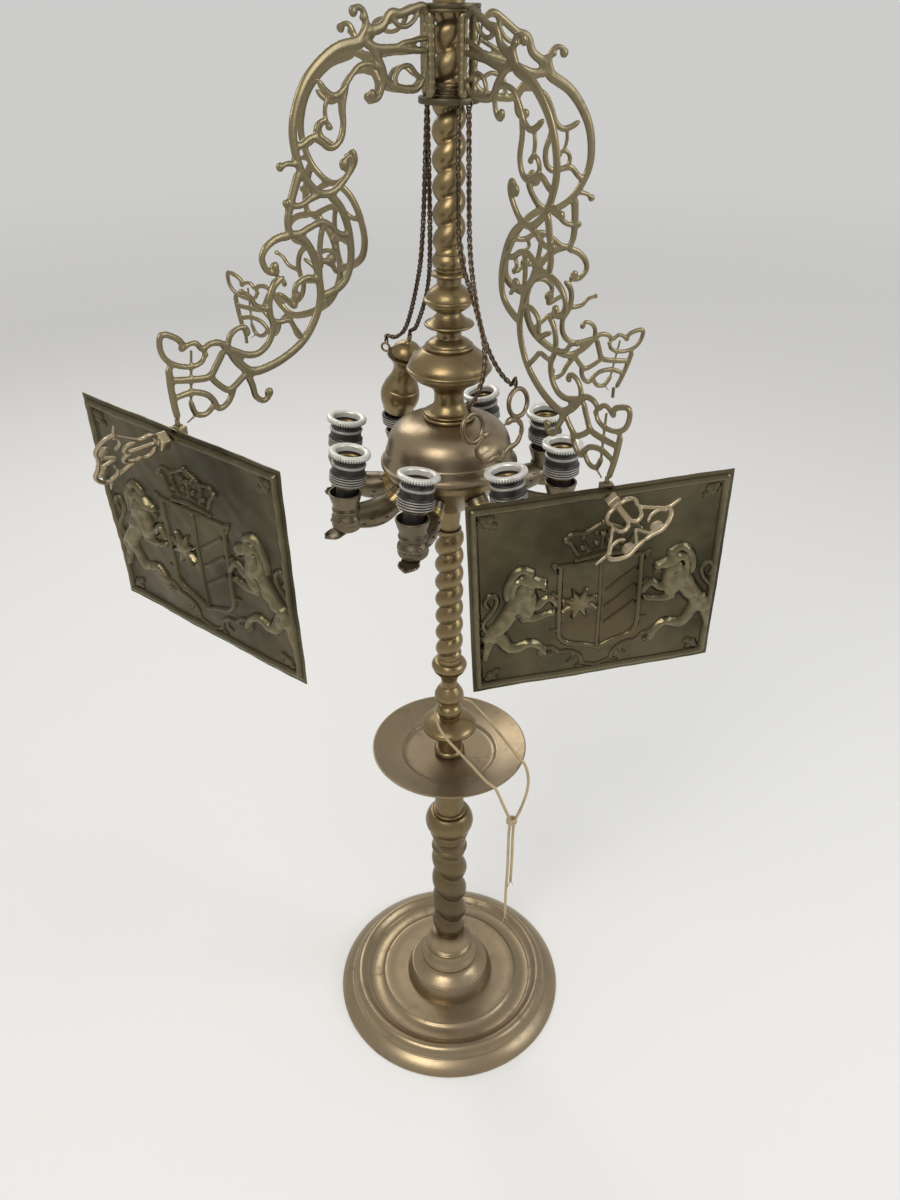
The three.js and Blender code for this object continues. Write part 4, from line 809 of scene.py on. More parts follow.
# Brass with colours of its own: material, colour, tarnish, roughness, and what else differs
BRASSES = {
    "low_brass": (
        "foot_brass", (0.232, 0.186, 0.128), (0.098, 0.076, 0.054), 0.36, {"lathe": 0.5, "pits": 0.7},
    ),
    "spout_brass": ("spout_brass", (0.135, 0.113, 0.080), (0.045, 0.038, 0.030), 0.40, {"pits": 0.8}),
    "ornament_brass": ("ornament_brass", (0.34, 0.285, 0.205), (0.15, 0.12, 0.08), 0.36, {}),
    "tool_bronze": ("tool_bronze", (0.165, 0.132, 0.090), (0.060, 0.047, 0.035), 0.38, {"pits": 0.6}),
    "socket_brass": ("socket_brass", (0.16, 0.118, 0.055), (0.040, 0.030, 0.020), 0.42, {}),
}


# Modelling helpers


def smooth_path(points, steps):
    """A soft curve through the points, as a list of points."""
    nodes = [np.array(p, float) for p in points]
    nodes = [2 * nodes[0] - nodes[1], *nodes, 2 * nodes[-1] - nodes[-2]]
    path = []
    for a, b, c, d in zip(nodes, nodes[1:], nodes[2:], nodes[3:]):
        bend, twist = 2 * a - 5 * b + 4 * c - d, 3 * b - a - 3 * c + d
        for t in np.arange(steps) / steps:
            path.append(0.5 * (2 * b + (c - a) * t + bend * t**2 + twist * t**3))
    return [*path, nodes[-2]]


def soft_or_straight(points, steps):
    """The soft curve through three points or more, and two points as they are."""
    return smooth_path(points, steps) if len(points) > 2 else [np.array(p, float) for p in points]


def eased(profile, reach=0.7):
    """The profile with its corners softened by a small reach."""
    points = [Vector(p) for p in profile]
    soft = [points[0]]
    for before, at, after in zip(points, points[1:], points[2:]):
        back, ahead = before - at, after - at
        if back.length < 1e-6 or ahead.length < 1e-6 or back.angle(-ahead) < math.radians(24):
            soft.append(at)
            continue
        start = at + back.normalized() * min(reach, back.length * 0.4)
        end = at + ahead.normalized() * min(reach, ahead.length * 0.4)
        soft += [start, (start + end + 2 * at) / 4, end]
    return [tuple(p) for p in [*soft, points[-1]]]


def form_radius(form, radius, other, t):
    """Radius of a turned form at a share of its height."""
    rise, fall = math.sin(t * math.pi / 2), math.cos(t * math.pi / 2)
    if form == "bead":
        return other + (radius - other) * math.sin(math.pi * t) ** 0.8
    if form == "swell":
        return other + (radius - other) * fall if radius > other else radius + (other - radius) * rise
    if form == "hollow" and radius < other:
        return radius + (other - radius) * (1 - fall)
    return other + (radius - other) * (1 - rise)


def turned_profile(forms, start=0.0):
    """(radius, height) points of a turned outside, from its list of forms."""
    points = []
    z = start
    for form, radius, other, height in forms:
        steps = 1 if form == "neck" else max(5, round(height / TURNED_STEP))
        for t in [i / steps for i in range(steps + 1)]:
            points.append((form_radius(form, radius, other, t), z + t * height))
        z += height
    return points


def walled(outside, wall):
    """A closed outline: the outside and, a wall's thickness under it, the inside."""
    inside = []
    for i, (r, z) in enumerate(outside):
        before, after = outside[max(i - 1, 0)], outside[min(i + 1, len(outside) - 1)]
        run = (Vector(after) - Vector(before)).normalized()
        inside.append((r - wall * run.y, z + wall * run.x))
    return outside + inside[::-1]


def spun_sheet(profile, wall):
    """Outline of a spun sheet with softened corners and a level underside."""
    return [(r, max(z, 0)) for r, z in walled(eased(profile, SHEET_EDGE), wall)]


def spun(bm, geom, steps):
    """The geometry spun round Z into a closed skin."""
    bmesh.ops.spin(
        bm,
        geom=geom,
        axis=(0, 0, 1),
        cent=(0, 0, 0),
        angle=2 * math.pi,
        steps=steps,
        use_merge=True,
    )
    bmesh.ops.remove_doubles(bm, verts=bm.verts, dist=WELD)
    bmesh.ops.recalc_face_normals(bm, faces=bm.faces)
    return bm


def lathe(profile, steps):
    """A closed profile spun round Z."""
    bm = bmesh.new()
    verts = [bm.verts.new((r, 0, z)) for r, z in profile]
    edges = [bm.edges.new(pair) for pair in zip(verts, verts[1:] + verts[:1])]
    return spun(bm, verts + edges, steps)


def swept(stations, segments=8):
    """A capped bar through matrices that each place a unit ring."""
    bm = bmesh.new()
    bmesh.ops.create_circle(bm, cap_ends=False, segments=segments, radius=1.0, matrix=stations[0])
    edges = list(bm.edges)
    bmesh.ops.contextual_create(bm, geom=edges)
    for before, after in zip(stations, stations[1:]):
        made = bmesh.ops.extrude_edge_only(bm, edges=edges)["geom"]
        verts = {g for g in made if isinstance(g, bmesh.types.BMVert)}
        edges = [g for g in made if isinstance(g, bmesh.types.BMEdge) and set(g.verts) <= verts]
        bmesh.ops.transform(bm, matrix=after @ before.inverted(), verts=list(verts))
    bmesh.ops.contextual_create(bm, geom=edges)
    bmesh.ops.recalc_face_normals(bm, faces=bm.faces)
    return bm


def stations_on(path, radius, up=(0, 0, 1)):
    """Ring places along a 3-D path; radius is a pair of sizes or a function of the share of the length."""
    path = [Vector(p) for p in path]
    side = Vector(up)
    stations = []
    for i, at in enumerate(path):
        run = (path[min(i + 1, len(path) - 1)] - path[max(i - 1, 0)]).normalized()
        side = (side - run * side.dot(run)).normalized()
        sizes = radius(i / (len(path) - 1)) if callable(radius) else radius
        turn = Matrix((side.cross(run), side, run)).transposed().to_4x4()
        stations.append(Matrix.Translation(at) @ turn @ Matrix.Diagonal((sizes[0], sizes[1], 1, 1)))
    return stations


def scroll_bar(points, start, end, thickness):
    """A flat bar in the XY plane with rounded ends, its half width going from the start's to the end's."""
    flat = [(x, y, 0) for x, y in soft_or_straight(points, 5)]

    def sizes(t):
        ends = [math.sqrt(max(0.12, 1 - max(0.0, reach) ** 2)) for reach in (t * 12 - 11, 1 - t * 12)]
        round_end = ends[0] * ends[1]
        return ((start + (end - start) * t) * round_end, thickness / 2 * (0.75 + 0.25 * round_end))

    return swept(stations_on(flat, sizes), 10)


def ball(at, radii, detail=2):
    """A ball, drawn out to the three radii."""
    bm = bmesh.new()
    place = Matrix.Translation(at) @ Matrix.Diagonal((*radii, 1))
    bmesh.ops.create_icosphere(bm, subdivisions=detail, radius=1, matrix=place)
    return bm


def hoop(radius, wire, steps=28, sides=8):
    """A ring of round wire about Z."""
    bm = bmesh.new()
    place = Matrix.Translation((radius, 0, 0)) @ about(90, "X")
    ring = bmesh.ops.create_circle(bm, segments=sides, radius=wire, matrix=place)["verts"]
    return spun(bm, ring + list(bm.edges), steps)


def block(size, bevel, at=(0, 0, 0)):
    """A block with rounded edges."""
    bm = bmesh.new()
    bmesh.ops.create_cube(bm, size=1, matrix=Matrix.Translation(at) @ Matrix.Diagonal((*size, 1)))
    bmesh.ops.bevel(
        bm,
        geom=list(bm.edges),
        offset=bevel,
        segments=2,
        profile=0.5,
        affect="EDGES",
        material=-1,
        clamp_overlap=True,
    )
    return bm


def pin(radius, bottom, top, steps=20):
    """A round pin along Z."""
    return lathe(eased([(0, bottom), (radius, bottom), (radius, top), (0, top)], 0.4), steps)


class Kit:
    """Gathers parts of one piece, each with its place and finish, in millimetres."""

    def __init__(self):
        self.bm = bmesh.new()
        self.finishes = []

    def add(self, part, finish, place=Matrix()):
        """Adds a bmesh or a mesh, moved by a matrix."""
        if finish not in self.finishes:
            self.finishes.append(finish)
        mesh = part
        if isinstance(part, bmesh.types.BMesh):
            mesh = bpy.data.meshes.new("part")
            part.to_mesh(mesh)
            part.free()
        verts, faces = len(self.bm.verts), len(self.bm.faces)
        self.bm.from_mesh(mesh)
        self.bm.verts.ensure_lookup_table()
        self.bm.faces.ensure_lookup_table()
        bmesh.ops.transform(self.bm, matrix=place, verts=self.bm.verts[verts:])
        for face in self.bm.faces[faces:]:
            face.material_index = self.finishes.index(finish)
        if mesh is not part:
            bpy.data.meshes.remove(mesh)
        return self

    def place(self, name, body, nodes=(), place=Matrix(), crease=38):
        bm = self.bm
        bmesh.ops.transform(bm, matrix=Matrix.Scale(MM, 4) @ place, verts=bm.verts)
        if place.determinant() < 0:
            bmesh.ops.reverse_faces(bm, faces=bm.faces)
        limit = math.radians(crease)
        for face in bm.faces:
            face.smooth = True
        for edge in bm.edges:
            edge.smooth = not (edge.is_manifold and edge.calc_face_angle(0) > limit)
        mesh = bpy.data.meshes.new(name)
        bm.to_mesh(mesh)
        bm.free()
        for finish in self.finishes:
            mesh.materials.append(FINISHES[finish])
        piece = bpy.data.objects.new(name, mesh)
        bpy.context.scene.collection.objects.link(piece)
        if body:
            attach(piece, body)
        if nodes:
            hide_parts(*nodes)
        return piece


def as_mesh(bm):
    """The bmesh as a mesh that can be added more than once."""
    mesh = bpy.data.meshes.new("part")
    bm.to_mesh(mesh)
    bm.free()
    return mesh


def cast_as_one(mesh, grain):
    """The mesh's crossing bars fused into one cast shape with soft joins."""
    piece = bpy.data.objects.new("casting", mesh)
    bpy.context.scene.collection.objects.link(piece)
    remesh = piece.modifiers.new("fuse", "REMESH")
    remesh.mode = "VOXEL"
    remesh.voxel_size = grain
    soften = piece.modifiers.new("soften", "SMOOTH")
    soften.iterations = 3
    depsgraph = bpy.context.evaluated_depsgraph_get()
    fused = bpy.data.meshes.new_from_object(piece.evaluated_get(depsgraph))
    bpy.data.objects.remove(piece)
    bpy.data.meshes.remove(mesh)
    return fused


def openwork(bars, breadth, balls, thickness, depth, grain):
    """Pierced work cast from bars and balls in the XY plane."""
    kit = Kit()
    for points, start, end in bars:
        kit.add(scroll_bar(points, start * breadth, end * breadth, thickness), "pale_brass")
    for x, y, radius in balls:
        kit.add(ball((x, y, 0), (radius, radius, depth)), "pale_brass")
    return cast_as_one(as_mesh(kit.bm), grain)


def at_height(z):
    return Matrix.Translation((0, 0, z))


def about(degrees, axis="Z"):
    """A turn about an axis."""
    return Matrix.Rotation(math.radians(degrees), 4, axis)


def polar(radius, degrees, z=0.0):
    return Vector((radius * math.cos(math.radians(degrees)), radius * math.sin(math.radians(degrees)), z))


def lean_matrix(along_x, along_y):
    """A lean towards +X and towards +Y, in degrees."""
    return Euler((math.radians(-along_y), math.radians(along_x), 0)).to_matrix().to_4x4()


# Stage and finishes


class LAMP_OT_stage(bpy.types.Operator):
    """Camera, floor, lamps and world"""

    bl_idname = "lamp.stage"
    bl_label = "Stage"
    bl_options = {"REGISTER", "UNDO"}

    def execute(self, context):
        scene = context.scene
        settings = scene.lamp_stage
        camera = bpy.data.objects.new("camera", bpy.data.cameras.new("camera"))
        camera.location = CAMERA_PLACE
        camera.rotation_euler = (math.radians(CAMERA_TURN[0]), 0, math.radians(CAMERA_TURN[1]))
        camera.data.lens = CAMERA_LENS
        camera.data.clip_start = 0.01
        scene.collection.objects.link(camera)
        scene.camera = camera

        bm = bmesh.new()
        bmesh.ops.create_circle(bm, cap_ends=True, segments=96, radius=settings.floor_size)
        mesh = bpy.data.meshes.new("floor")
        bm.to_mesh(mesh)
        bm.free()
        floor = bpy.data.objects.new("floor", mesh)
        s = Shade("floor")
        grain = s.noise(3, 3)
        colour = tuple(settings.floor)
        base = s.mix(grain * 0.06, colour, toned(colour, 0.9))
        distance = s.node("ShaderNodeVectorMath", {"operation": "LENGTH"}, {0: s.place()}, "Value")
        lift = tuple(settings.world_level * (1 - c) for c in colour)
        s.surface.inputs["Emission Strength"].default_value = 1.0
        s.set(s.surface.inputs, "Emission Color", s.mix(s.between(distance, 1.5, 9.0), (0, 0, 0), lift))
        mesh.materials.append(s.finish(base, 0.75, 0.0))
        scene.collection.objects.link(floor)

        world = bpy.data.worlds.new("studio")
        scene.world = world
        world.use_nodes = True
        background = world.node_tree.nodes["Background"]
        background.inputs["Color"].default_value = (1.0, 0.99, 0.975, 1)
        background.inputs["Strength"].default_value = settings.world_level

        for name, setting, size, place, target, colour in LIGHTS:
            light = bpy.data.lights.new(name, "AREA")
            light.energy = getattr(settings, setting)
            light.size = size
            light.color = colour
            lamp = bpy.data.objects.new(name, light)
            lamp.location = place
            lamp.rotation_euler = (Vector(target) - Vector(place)).to_track_quat("-Z", "Y").to_euler()
            scene.collection.objects.link(lamp)
        scene.view_settings.view_transform = "Standard"
        return {"FINISHED"}


class LAMP_OT_finishes(bpy.types.Operator):
    """Brass, zinc, shell, chain, flex and steel materials"""

    bl_idname = "lamp.finishes"
    bl_label = "Finishes"
    bl_options = {"REGISTER", "UNDO"}

    def execute(self, context):
        colours = context.scene.lamp_finish
        brass, dark = tuple(colours.brass), tuple(colours.brass_dark)
        pale = tuple(colours.pale_brass)
        FINISHES.update(
            brass=aged_brass("aged_brass", brass, dark, 0.36, lathe=0.5, low_painted_shade=0.7),
            gold_brass=aged_brass("clean_brass", (0.40, 0.31, 0.15), brass, 0.32),
            pale_brass=aged_brass("pale_brass", pale, toned(pale, 0.40), 0.37, pits=0.6),
            hub_brass=aged_brass("hub_brass", toned(pale, 0.42), toned(pale, 0.2), 0.40),
            screen=embossed_brass("embossed_sheet", tuple(colours.screen), (0.056, 0.053, 0.029)),
            holder=dull_shell("lampholder_shell", tuple(colours.holder)),
            holder_metal=zinc_white("lampholder_thread", (0.36, 0.345, 0.31)),
            zinc=zinc_white("shade_ring", tuple(colours.zinc)),
            chain=dark_links("chain", tuple(colours.chain)),
            flex=flex_cover("flex", tuple(colours.flex)),
            steel=plain_steel("steel", tuple(colours.steel)),
        )
        for finish, (name, colour, tarnish, rough, more) in BRASSES.items():
            FINISHES[finish] = aged_brass(name, colour, tarnish, rough, **more)
        return {"FINISHED"}


class LAMP_OT_flex(bpy.types.Operator):
    """Two cores of flex, their bare ends and the knot that ties them"""

    bl_idname = "lamp.flex"
    bl_label = "Flex"
    bl_options = {"REGISTER", "UNDO"}

    def execute(self, context):
        scene = context.scene
        radius = scene.lamp_shape.flex_diameter / 2
        ends = {}
        for name, route in FLEX_ROUTES.items():
            path = [Vector(p) * MM for p in smooth_path(route, 6)]
            length = sum((b - a).length for a, b in zip(path, path[1:]))
            curve = bpy.data.curves.new(f"{name}_flex", "CURVE")
            curve.dimensions = "3D"
            curve.bevel_depth = radius
            curve.bevel_resolution = 3
            curve.use_fill_caps = True
            spline = curve.splines.new("POLY")
            spline.points.add(len(path) - 1)
            for point, place in zip(spline.points, path):
                point.co = (*place, 1)
            curve.materials.append(FINISHES["flex"])
            cord = bpy.data.objects.new(f"{name}_flex", curve)
            scene.collection.objects.link(cord)
            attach(cord, "stand")
            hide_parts(name)
            ends[name] = (cord, path, length)
        knot = Kit()
        for drop, tip in KNOT_TURNS:
            place = Matrix.Translation(Vector(FLEX_KNOT) + Vector((0, 0, drop))) @ about(tip, "X")
            knot.add(hoop(*KNOT_RING, 24), "flex", place @ Matrix.Diagonal((1.15, 0.8, 1, 1)))
        pieces = {"cord_front": [knot.place("flex_knot", "stand")], "cord_side": []}
        for name, (cord, path, length) in ends.items():
            bare = Kit()
            end = path[-1] / MM
            for spread, drop in BARE_ENDS:
                start = end + Vector((spread * 0.8, 0, -0.1))
                middle = start + Vector((spread * 1.2, 0, -drop * 0.4))
                wire = smooth_path([start, middle, start + Vector((spread * 3, spread, -drop))], 4)
                bare.add(swept(stations_on(wire, (BARE_WIRE, BARE_WIRE), (0, 1, 0)), 6), "gold_brass")
            pieces[name].append(bare.place(f"{name}_bare_ends", "stand"))
        return {"FINISHED"}


# Column


class LAMP_OT_column(bpy.types.Operator):
    """Turned pieces of the column, the foot, tray and oil pan"""

    bl_idname = "lamp.column"
    bl_label = "Turned column"
    bl_options = {"REGISTER", "UNDO"}

    def execute(self, context):
        steps = context.scene.lamp_shape.lathe_steps
        for node, forms in TURNED.items():
            outside = eased(turned_profile(forms))
            profile = [(BORE, 0), *outside, (BORE, outside[-1][1])]
            piece = Kit().add(lathe(profile, steps), "low_brass" if node == "foot_boss" else "brass")
            piece.place(f"{node}_turned", "stand", [node], at_height(low(node)))
        inner = [(r - PAN_WALL, z + PAN_WALL) for r, z in PAN_BOWL]
        pan = [*eased(PAN_SIDE), PAN_RIM, *inner[::-1], (BORE, inner[0][1])]
        outlines = {
            "foot": (spun_sheet(FOOT_TOP, FOOT_WALL), 128, "low_brass"),
            "drip_tray": (spun_sheet(TRAY_TOP, SHEET_WALL), 128, "low_brass"),
            "reservoir_pan": (pan, 96, "brass"),
            "reservoir_dome": (spun_sheet(DOME_SIDE, SHEET_WALL), 96, "low_brass"),
        }
        for node, (profile, around, finish) in outlines.items():
            piece = Kit().add(lathe(profile, around), finish)
            piece.place(f"{node}_spun", "stand", [node], at_height(low(node)))
        ring = Kit()
        radius, wire, middle = CARRYING_RING
        ring.add(hoop(radius, wire, 48, 14), "brass", at_height(middle) @ about(90, "X"))
        foot = turned_profile(CARRYING_FOOT)
        ring.add(lathe([*foot, (0, foot[-1][1]), (0, 0)], 32), "brass")
        ring.place("carrying_ring_turned", "stand", ["carrying_ring"], at_height(low("carrying_ring")))
        return {"FINISHED"}


class LAMP_OT_twists(bpy.types.Operator):
    """Twisted shafts of the column"""

    bl_idname = "lamp.twists"
    bl_label = "Twisted shafts"
    bl_options = {"REGISTER", "UNDO"}

    def execute(self, context):
        for node, (core, ridge, lead, hand) in TWISTED.items():
            height = high(node) - low(node)
            rings = round(height / lead * TWIST_RINGS)
            outside = [(core, height * i / rings) for i in range(rings + 1)]
            bm = lathe([(BORE, 0), *outside, (BORE, height)], TWIST_SIDES)
            for vert in bm.verts:
                x, y, z = vert.co
                radius = math.hypot(x, y)
                if radius < (BORE + core) / 2:
                    continue
                phase = math.atan2(y, x) - hand * 2 * math.pi * z / lead
                fade = min(1, z / (lead / 3), (height - z) / (lead / 3))
                roll = abs(math.cos(phase / 2)) ** 0.8
                grown = core + ridge * (fade * (roll * 1.6 - 0.6) + 0.3 * (1 - fade))
                vert.co.xy = (x / radius * grown, y / radius * grown)
            Kit().add(bm, "brass").place(f"{node}_twisted", "stand", [node], at_height(low(node)), 60)
        return {"FINISHED"}


class LAMP_OT_hub(bpy.types.Operator):
    """Cage at the top of the column that the arms hinge on"""

    bl_idname = "lamp.hub"
    bl_label = "Arm hub"
    bl_options = {"REGISTER", "UNDO"}

    def execute(self, context):
        plate = low("arm_hub") + HUB_CAGE
        hub = Kit()
        lower, deepest, upper, depth = HUB_GROOVE
        groove = [(HUB_RADIUS, lower), (HUB_RADIUS - depth, deepest), (HUB_RADIUS, upper)]
        disc = [(BORE, 0), (HUB_RADIUS, 0), *groove, (HUB_RADIUS, HUB_PLATE), (BORE, HUB_PLATE)]
        hub.add(lathe(eased(disc), 64), "hub_brass")
        ring = [(HUB_RING_BORE, 0), (HUB_RADIUS, 0), (HUB_RADIUS, HUB_RING), (HUB_RING_BORE, HUB_RING)]
        hub.add(lathe(eased(ring, HUB_EDGE), 64), "hub_brass", at_height(-HUB_CAGE))
        for azimuth, _ in ARMS.values():
            place = Matrix.Translation(polar(HUB_PIN_CIRCLE, azimuth))
            hub.add(pin(HUB_PIN, 1 - HUB_CAGE, 1), "hub_brass", place)
            # Wire loops round each arm's pin
            for drop in HUB_PIN_LOOPS:
                hub.add(hoop(*HUB_LOOP, 18, 6), "chain", place @ at_height(drop) @ about(HUB_LOOP_TILT, "X"))
        # Rings on the cage that the chains hang from
        for start in CHAIN_STARTS.values():
            grip = Matrix.Translation(polar(CHAIN_CIRCLE + 0.4, start, CHAIN_RING_RISE - HUB_CAGE))
            hub.add(hoop(*CHAIN_RING, 20, 6), "chain", grip @ about(start) @ about(90, "X"))
        # Wire wound round the column above the lower ring
        for i in range(HUB_TIE_TURNS):
            height = HUB_RING + 1.2 + HUB_TIE_PITCH * i - HUB_CAGE
            tie = at_height(height) @ about(HUB_TIE_TILT * math.cos(2.4 * i), "X")
            hub.add(hoop(*HUB_TIE, 40, 6), "chain", tie)
        hub.place("arm_hub_cage", "stand", ["arm_hub"], at_height(plate))
        return {"FINISHED"}


# Arms and screens


def pitched(point, pitch):
    """A point of the scrollwork, as out and up, after the arm's pitch."""
    return Matrix.Rotation(math.radians(pitch), 2) @ Vector(point)


class LAMP_OT_arms(bpy.types.Operator):
    """Four scrolled arms"""

    bl_idname = "lamp.arms"
    bl_label = "Scrolled arms"
    bl_options = {"REGISTER", "UNDO"}

    def execute(self, context):
        thickness = context.scene.lamp_shape.arm_thickness / MM
        depth = thickness / 2 + SCROLL_BALL_PROUD
        scrollwork = openwork(SCROLLS, SCROLL_BREADTH, SCROLL_BALLS, thickness, depth, SCROLL_GRAIN)
        top = ARM_BELOW_PLATE - GAP
        bottom = ARM_BELOW_PLATE - HUB_CAGE + HUB_RING + GAP
        step = (top - bottom) / KNUCKLE_RINGS
        knuckle = [(KNUCKLE_BORE, bottom)]
        for i in range(KNUCKLE_RINGS):
            z = bottom + step * i
            knuckle += [(KNUCKLE - KNUCKLE_GROOVE, z), (KNUCKLE, z + step * 0.25), (KNUCKLE, z + step * 0.75)]
        knuckle += [(KNUCKLE - KNUCKLE_GROOVE, top), (KNUCKLE_BORE, top)]
        for node, (azimuth, pitch) in ARMS.items():
            arm = Kit()
            arm.add(scrollwork, "pale_brass", about(90, "X") @ about(pitch))
            arm.add(lathe(knuckle, 24), "pale_brass")
            out, tip = pitched(SPIKE_POINT, pitch)
            root = pitched(SPIKE_TOP, pitch).y
            carries_screen = node.startswith("arm_front")
            end = tip - CLIP[2] / 2 - GAP - 1 if carries_screen else tip
            spike = Matrix.Translation((out, 0, 0))
            arm.add(pin(SPIKE_RADIUS, end, root), "pale_brass", spike)
            if carries_screen:
                bottom_end = end - SPIKE_HEAD_DROP
                head = turned_profile(SPIKE_HEAD, bottom_end)
                arm.add(lathe([*head, (0, head[-1][1]), (0, bottom_end)], 20), "pale_brass", spike)
            place = Matrix.Translation(pivot(node.replace("arm_", "") + "_swivel")) @ about(azimuth)
            arm.place(f"{node}_scrollwork", node, [node], place, 50)
        bpy.data.meshes.remove(scrollwork)
        return {"FINISHED"}


def relief_height(u, v, strokes, pearls):
    """Height of the raised work at points of the sheet, as smooth ridges along the strokes."""
    height = np.zeros_like(u)
    for points, start, end, rise in strokes:
        path = soft_or_straight(points, 3)
        count = len(path) - 1
        for i, (a, b) in enumerate(zip(path, path[1:])):
            run = b - a
            t = np.clip(((u - a[0]) * run[0] + (v - a[1]) * run[1]) / max(run @ run, 1e-9), 0, 1)
            away = np.hypot(u - a[0] - t * run[0], v - a[1] - t * run[1])
            radius = start + (end - start) * (i + t) / count
            share = np.clip(1 - (away / radius) ** 2, 0, 1)
            height = np.maximum(height, rise * share**0.7)
    for x, y, radius, rise in pearls:
        share = np.clip(1 - ((u - x) ** 2 + (v - y) ** 2) / radius**2, 0, 1)
        height = np.maximum(height, rise * np.sqrt(share))
    return height


def muscles(u, v, height):
    """Bumps on the high figures of the raised work."""
    waves = np.sin(u / 3.7 + 1.3 * np.sin(v / 6.3)) * np.sin(v / 4.9 + 1.1 * np.sin(u / 5.7))
    return 0.55 * np.maximum(height - 2.5, 0) * waves


def dents(u, v):
    """Bulges and ripples of the thin sheet."""
    bulges = 0.7 * np.sin(u / 41 + 1.1) * np.sin(v / 37) + 0.4 * np.sin(u / 17 + v / 23)
    return bulges + 0.26 * np.sin(u / 5.3 + np.sin(v / 7)) * np.sin(v / 6.1 + np.sin(u / 9))


def mirrored(strokes, axis):
    """The strokes on the other side of an upright axis."""
    return [([(2 * axis - x, y) for x, y in points], *rest) for points, *rest in strokes]


def screen_strokes():
    """All raised work of a sheet, in the frame of the sheet on the right."""
    axis = SHIELD_MIDDLE
    left = LION + LEAFAGE + SHIELD[:3] + CROWN
    strokes = left + mirrored(left, axis) + SHIELD[3:]
    pearls = [*CROWN_PEARLS, *((2 * axis - x, y, r, h) for x, y, r, h in CROWN_PEARLS), *TOP_PEARLS]
    for i in range(8):
        ray = Vector((math.cos(i * math.pi / 4 + 0.39), math.sin(i * math.pi / 4 + 0.39)))
        middle = Vector(STAR)
        strokes.append(([tuple(middle + ray * 2), tuple(middle + ray * 18)], 6.0, 1.0, 4.2))
    pearls.append((*STAR, 4.5, 3.6))
    for drop in BEND_DROPS:
        strokes.append(([(5, drop - 14), (32, drop + 6)], 2.4, 2.4, 1.9))
    half_width, half_height = SCREEN_WIDTH / 2 - BORDER_IN[0], SCREEN_HEIGHT / 2 - BORDER_IN[1]
    middle_x, middle_y = RELIEF_MIDDLE, SCREEN_ABOVE - SCREEN_HEIGHT / 2
    ways = ((-1, 1), (1, 1), (1, -1), (-1, -1))
    corners = [(middle_x + x * half_width, middle_y + y * half_height) for x, y in ways]
    for a, b in zip(corners, corners[1:] + corners[:1]):
        strokes.append(([a, b], 3.4, 3.4, 3.6))
    for (x, y), (out, up) in zip(corners, ways):
        cx, cy = x - out * 12, y - up * 13
        pearls += [(cx, cy, 4.6, 2.6), (cx - out * 6, cy - up * 3, 4, 2.2)]
        pearls += [(cx + out * 3, cy + up * 5, 4, 2.2), (cx - out * 3.5, cy + up * 4.5, 4, 2.2)]
    return strokes, pearls


class LAMP_OT_screens(bpy.types.Operator):
    """Two embossed sheets that hang from the front arms"""

    bl_idname = "lamp.screens"
    bl_label = "Screens"
    bl_options = {"REGISTER", "UNDO"}

    def execute(self, context):
        thickness = context.scene.lamp_shape.sheet_thickness / MM
        strokes, pearls = screen_strokes()
        for side, (turn, lean, roll, offset, _, _) in SCREENS.items():
            bm = bmesh.new()
            relief_share = bm.verts.layers.float.new("relief")
            spread = Matrix.Translation((offset, SCREEN_ABOVE - SCREEN_HEIGHT / 2, 0))
            spread @= Matrix.Diagonal((SCREEN_WIDTH, SCREEN_HEIGHT, 1, 1))
            columns, rows = SHEET_GRID
            bmesh.ops.create_grid(bm, x_segments=columns, y_segments=rows, size=0.5, matrix=spread)
            verts = list(bm.verts)
            u = np.array([v.co.x for v in verts])
            v = np.array([v.co.y for v in verts])
            height = relief_height(u - offset + RELIEF_MIDDLE, v, strokes, pearls)
            height += muscles(u, v, height)
            for vert, rise, soft in zip(verts, height, dents(u, v)):
                vert[relief_share] = min(1.0, rise / 6)
                vert.co = (vert.co.x, -(CLIP[1] / 2 + SCREEN_GAP + SCREEN_SHEET) - rise - soft, vert.co.y)
            bmesh.ops.recalc_face_normals(bm, faces=bm.faces)
            if bm.faces[:][0].normal.y > 0:
                bmesh.ops.reverse_faces(bm, faces=bm.faces)
            bmesh.ops.solidify(bm, geom=list(bm.faces), thickness=thickness)
            slope = Euler((math.radians(-lean), math.radians(-roll), 0)).to_matrix().to_4x4()
            place = Matrix.Translation(pivot(f"screen_{side}_swivel")) @ about(turn) @ slope
            screen = Kit()
            screen.finishes.append("screen")
            screen.bm.free()
            screen.bm = bm
            screen.place(f"screen_{side}_sheet", f"screen_{side}", [f"screen_{side}"], place, 60)
        return {"FINISHED"}


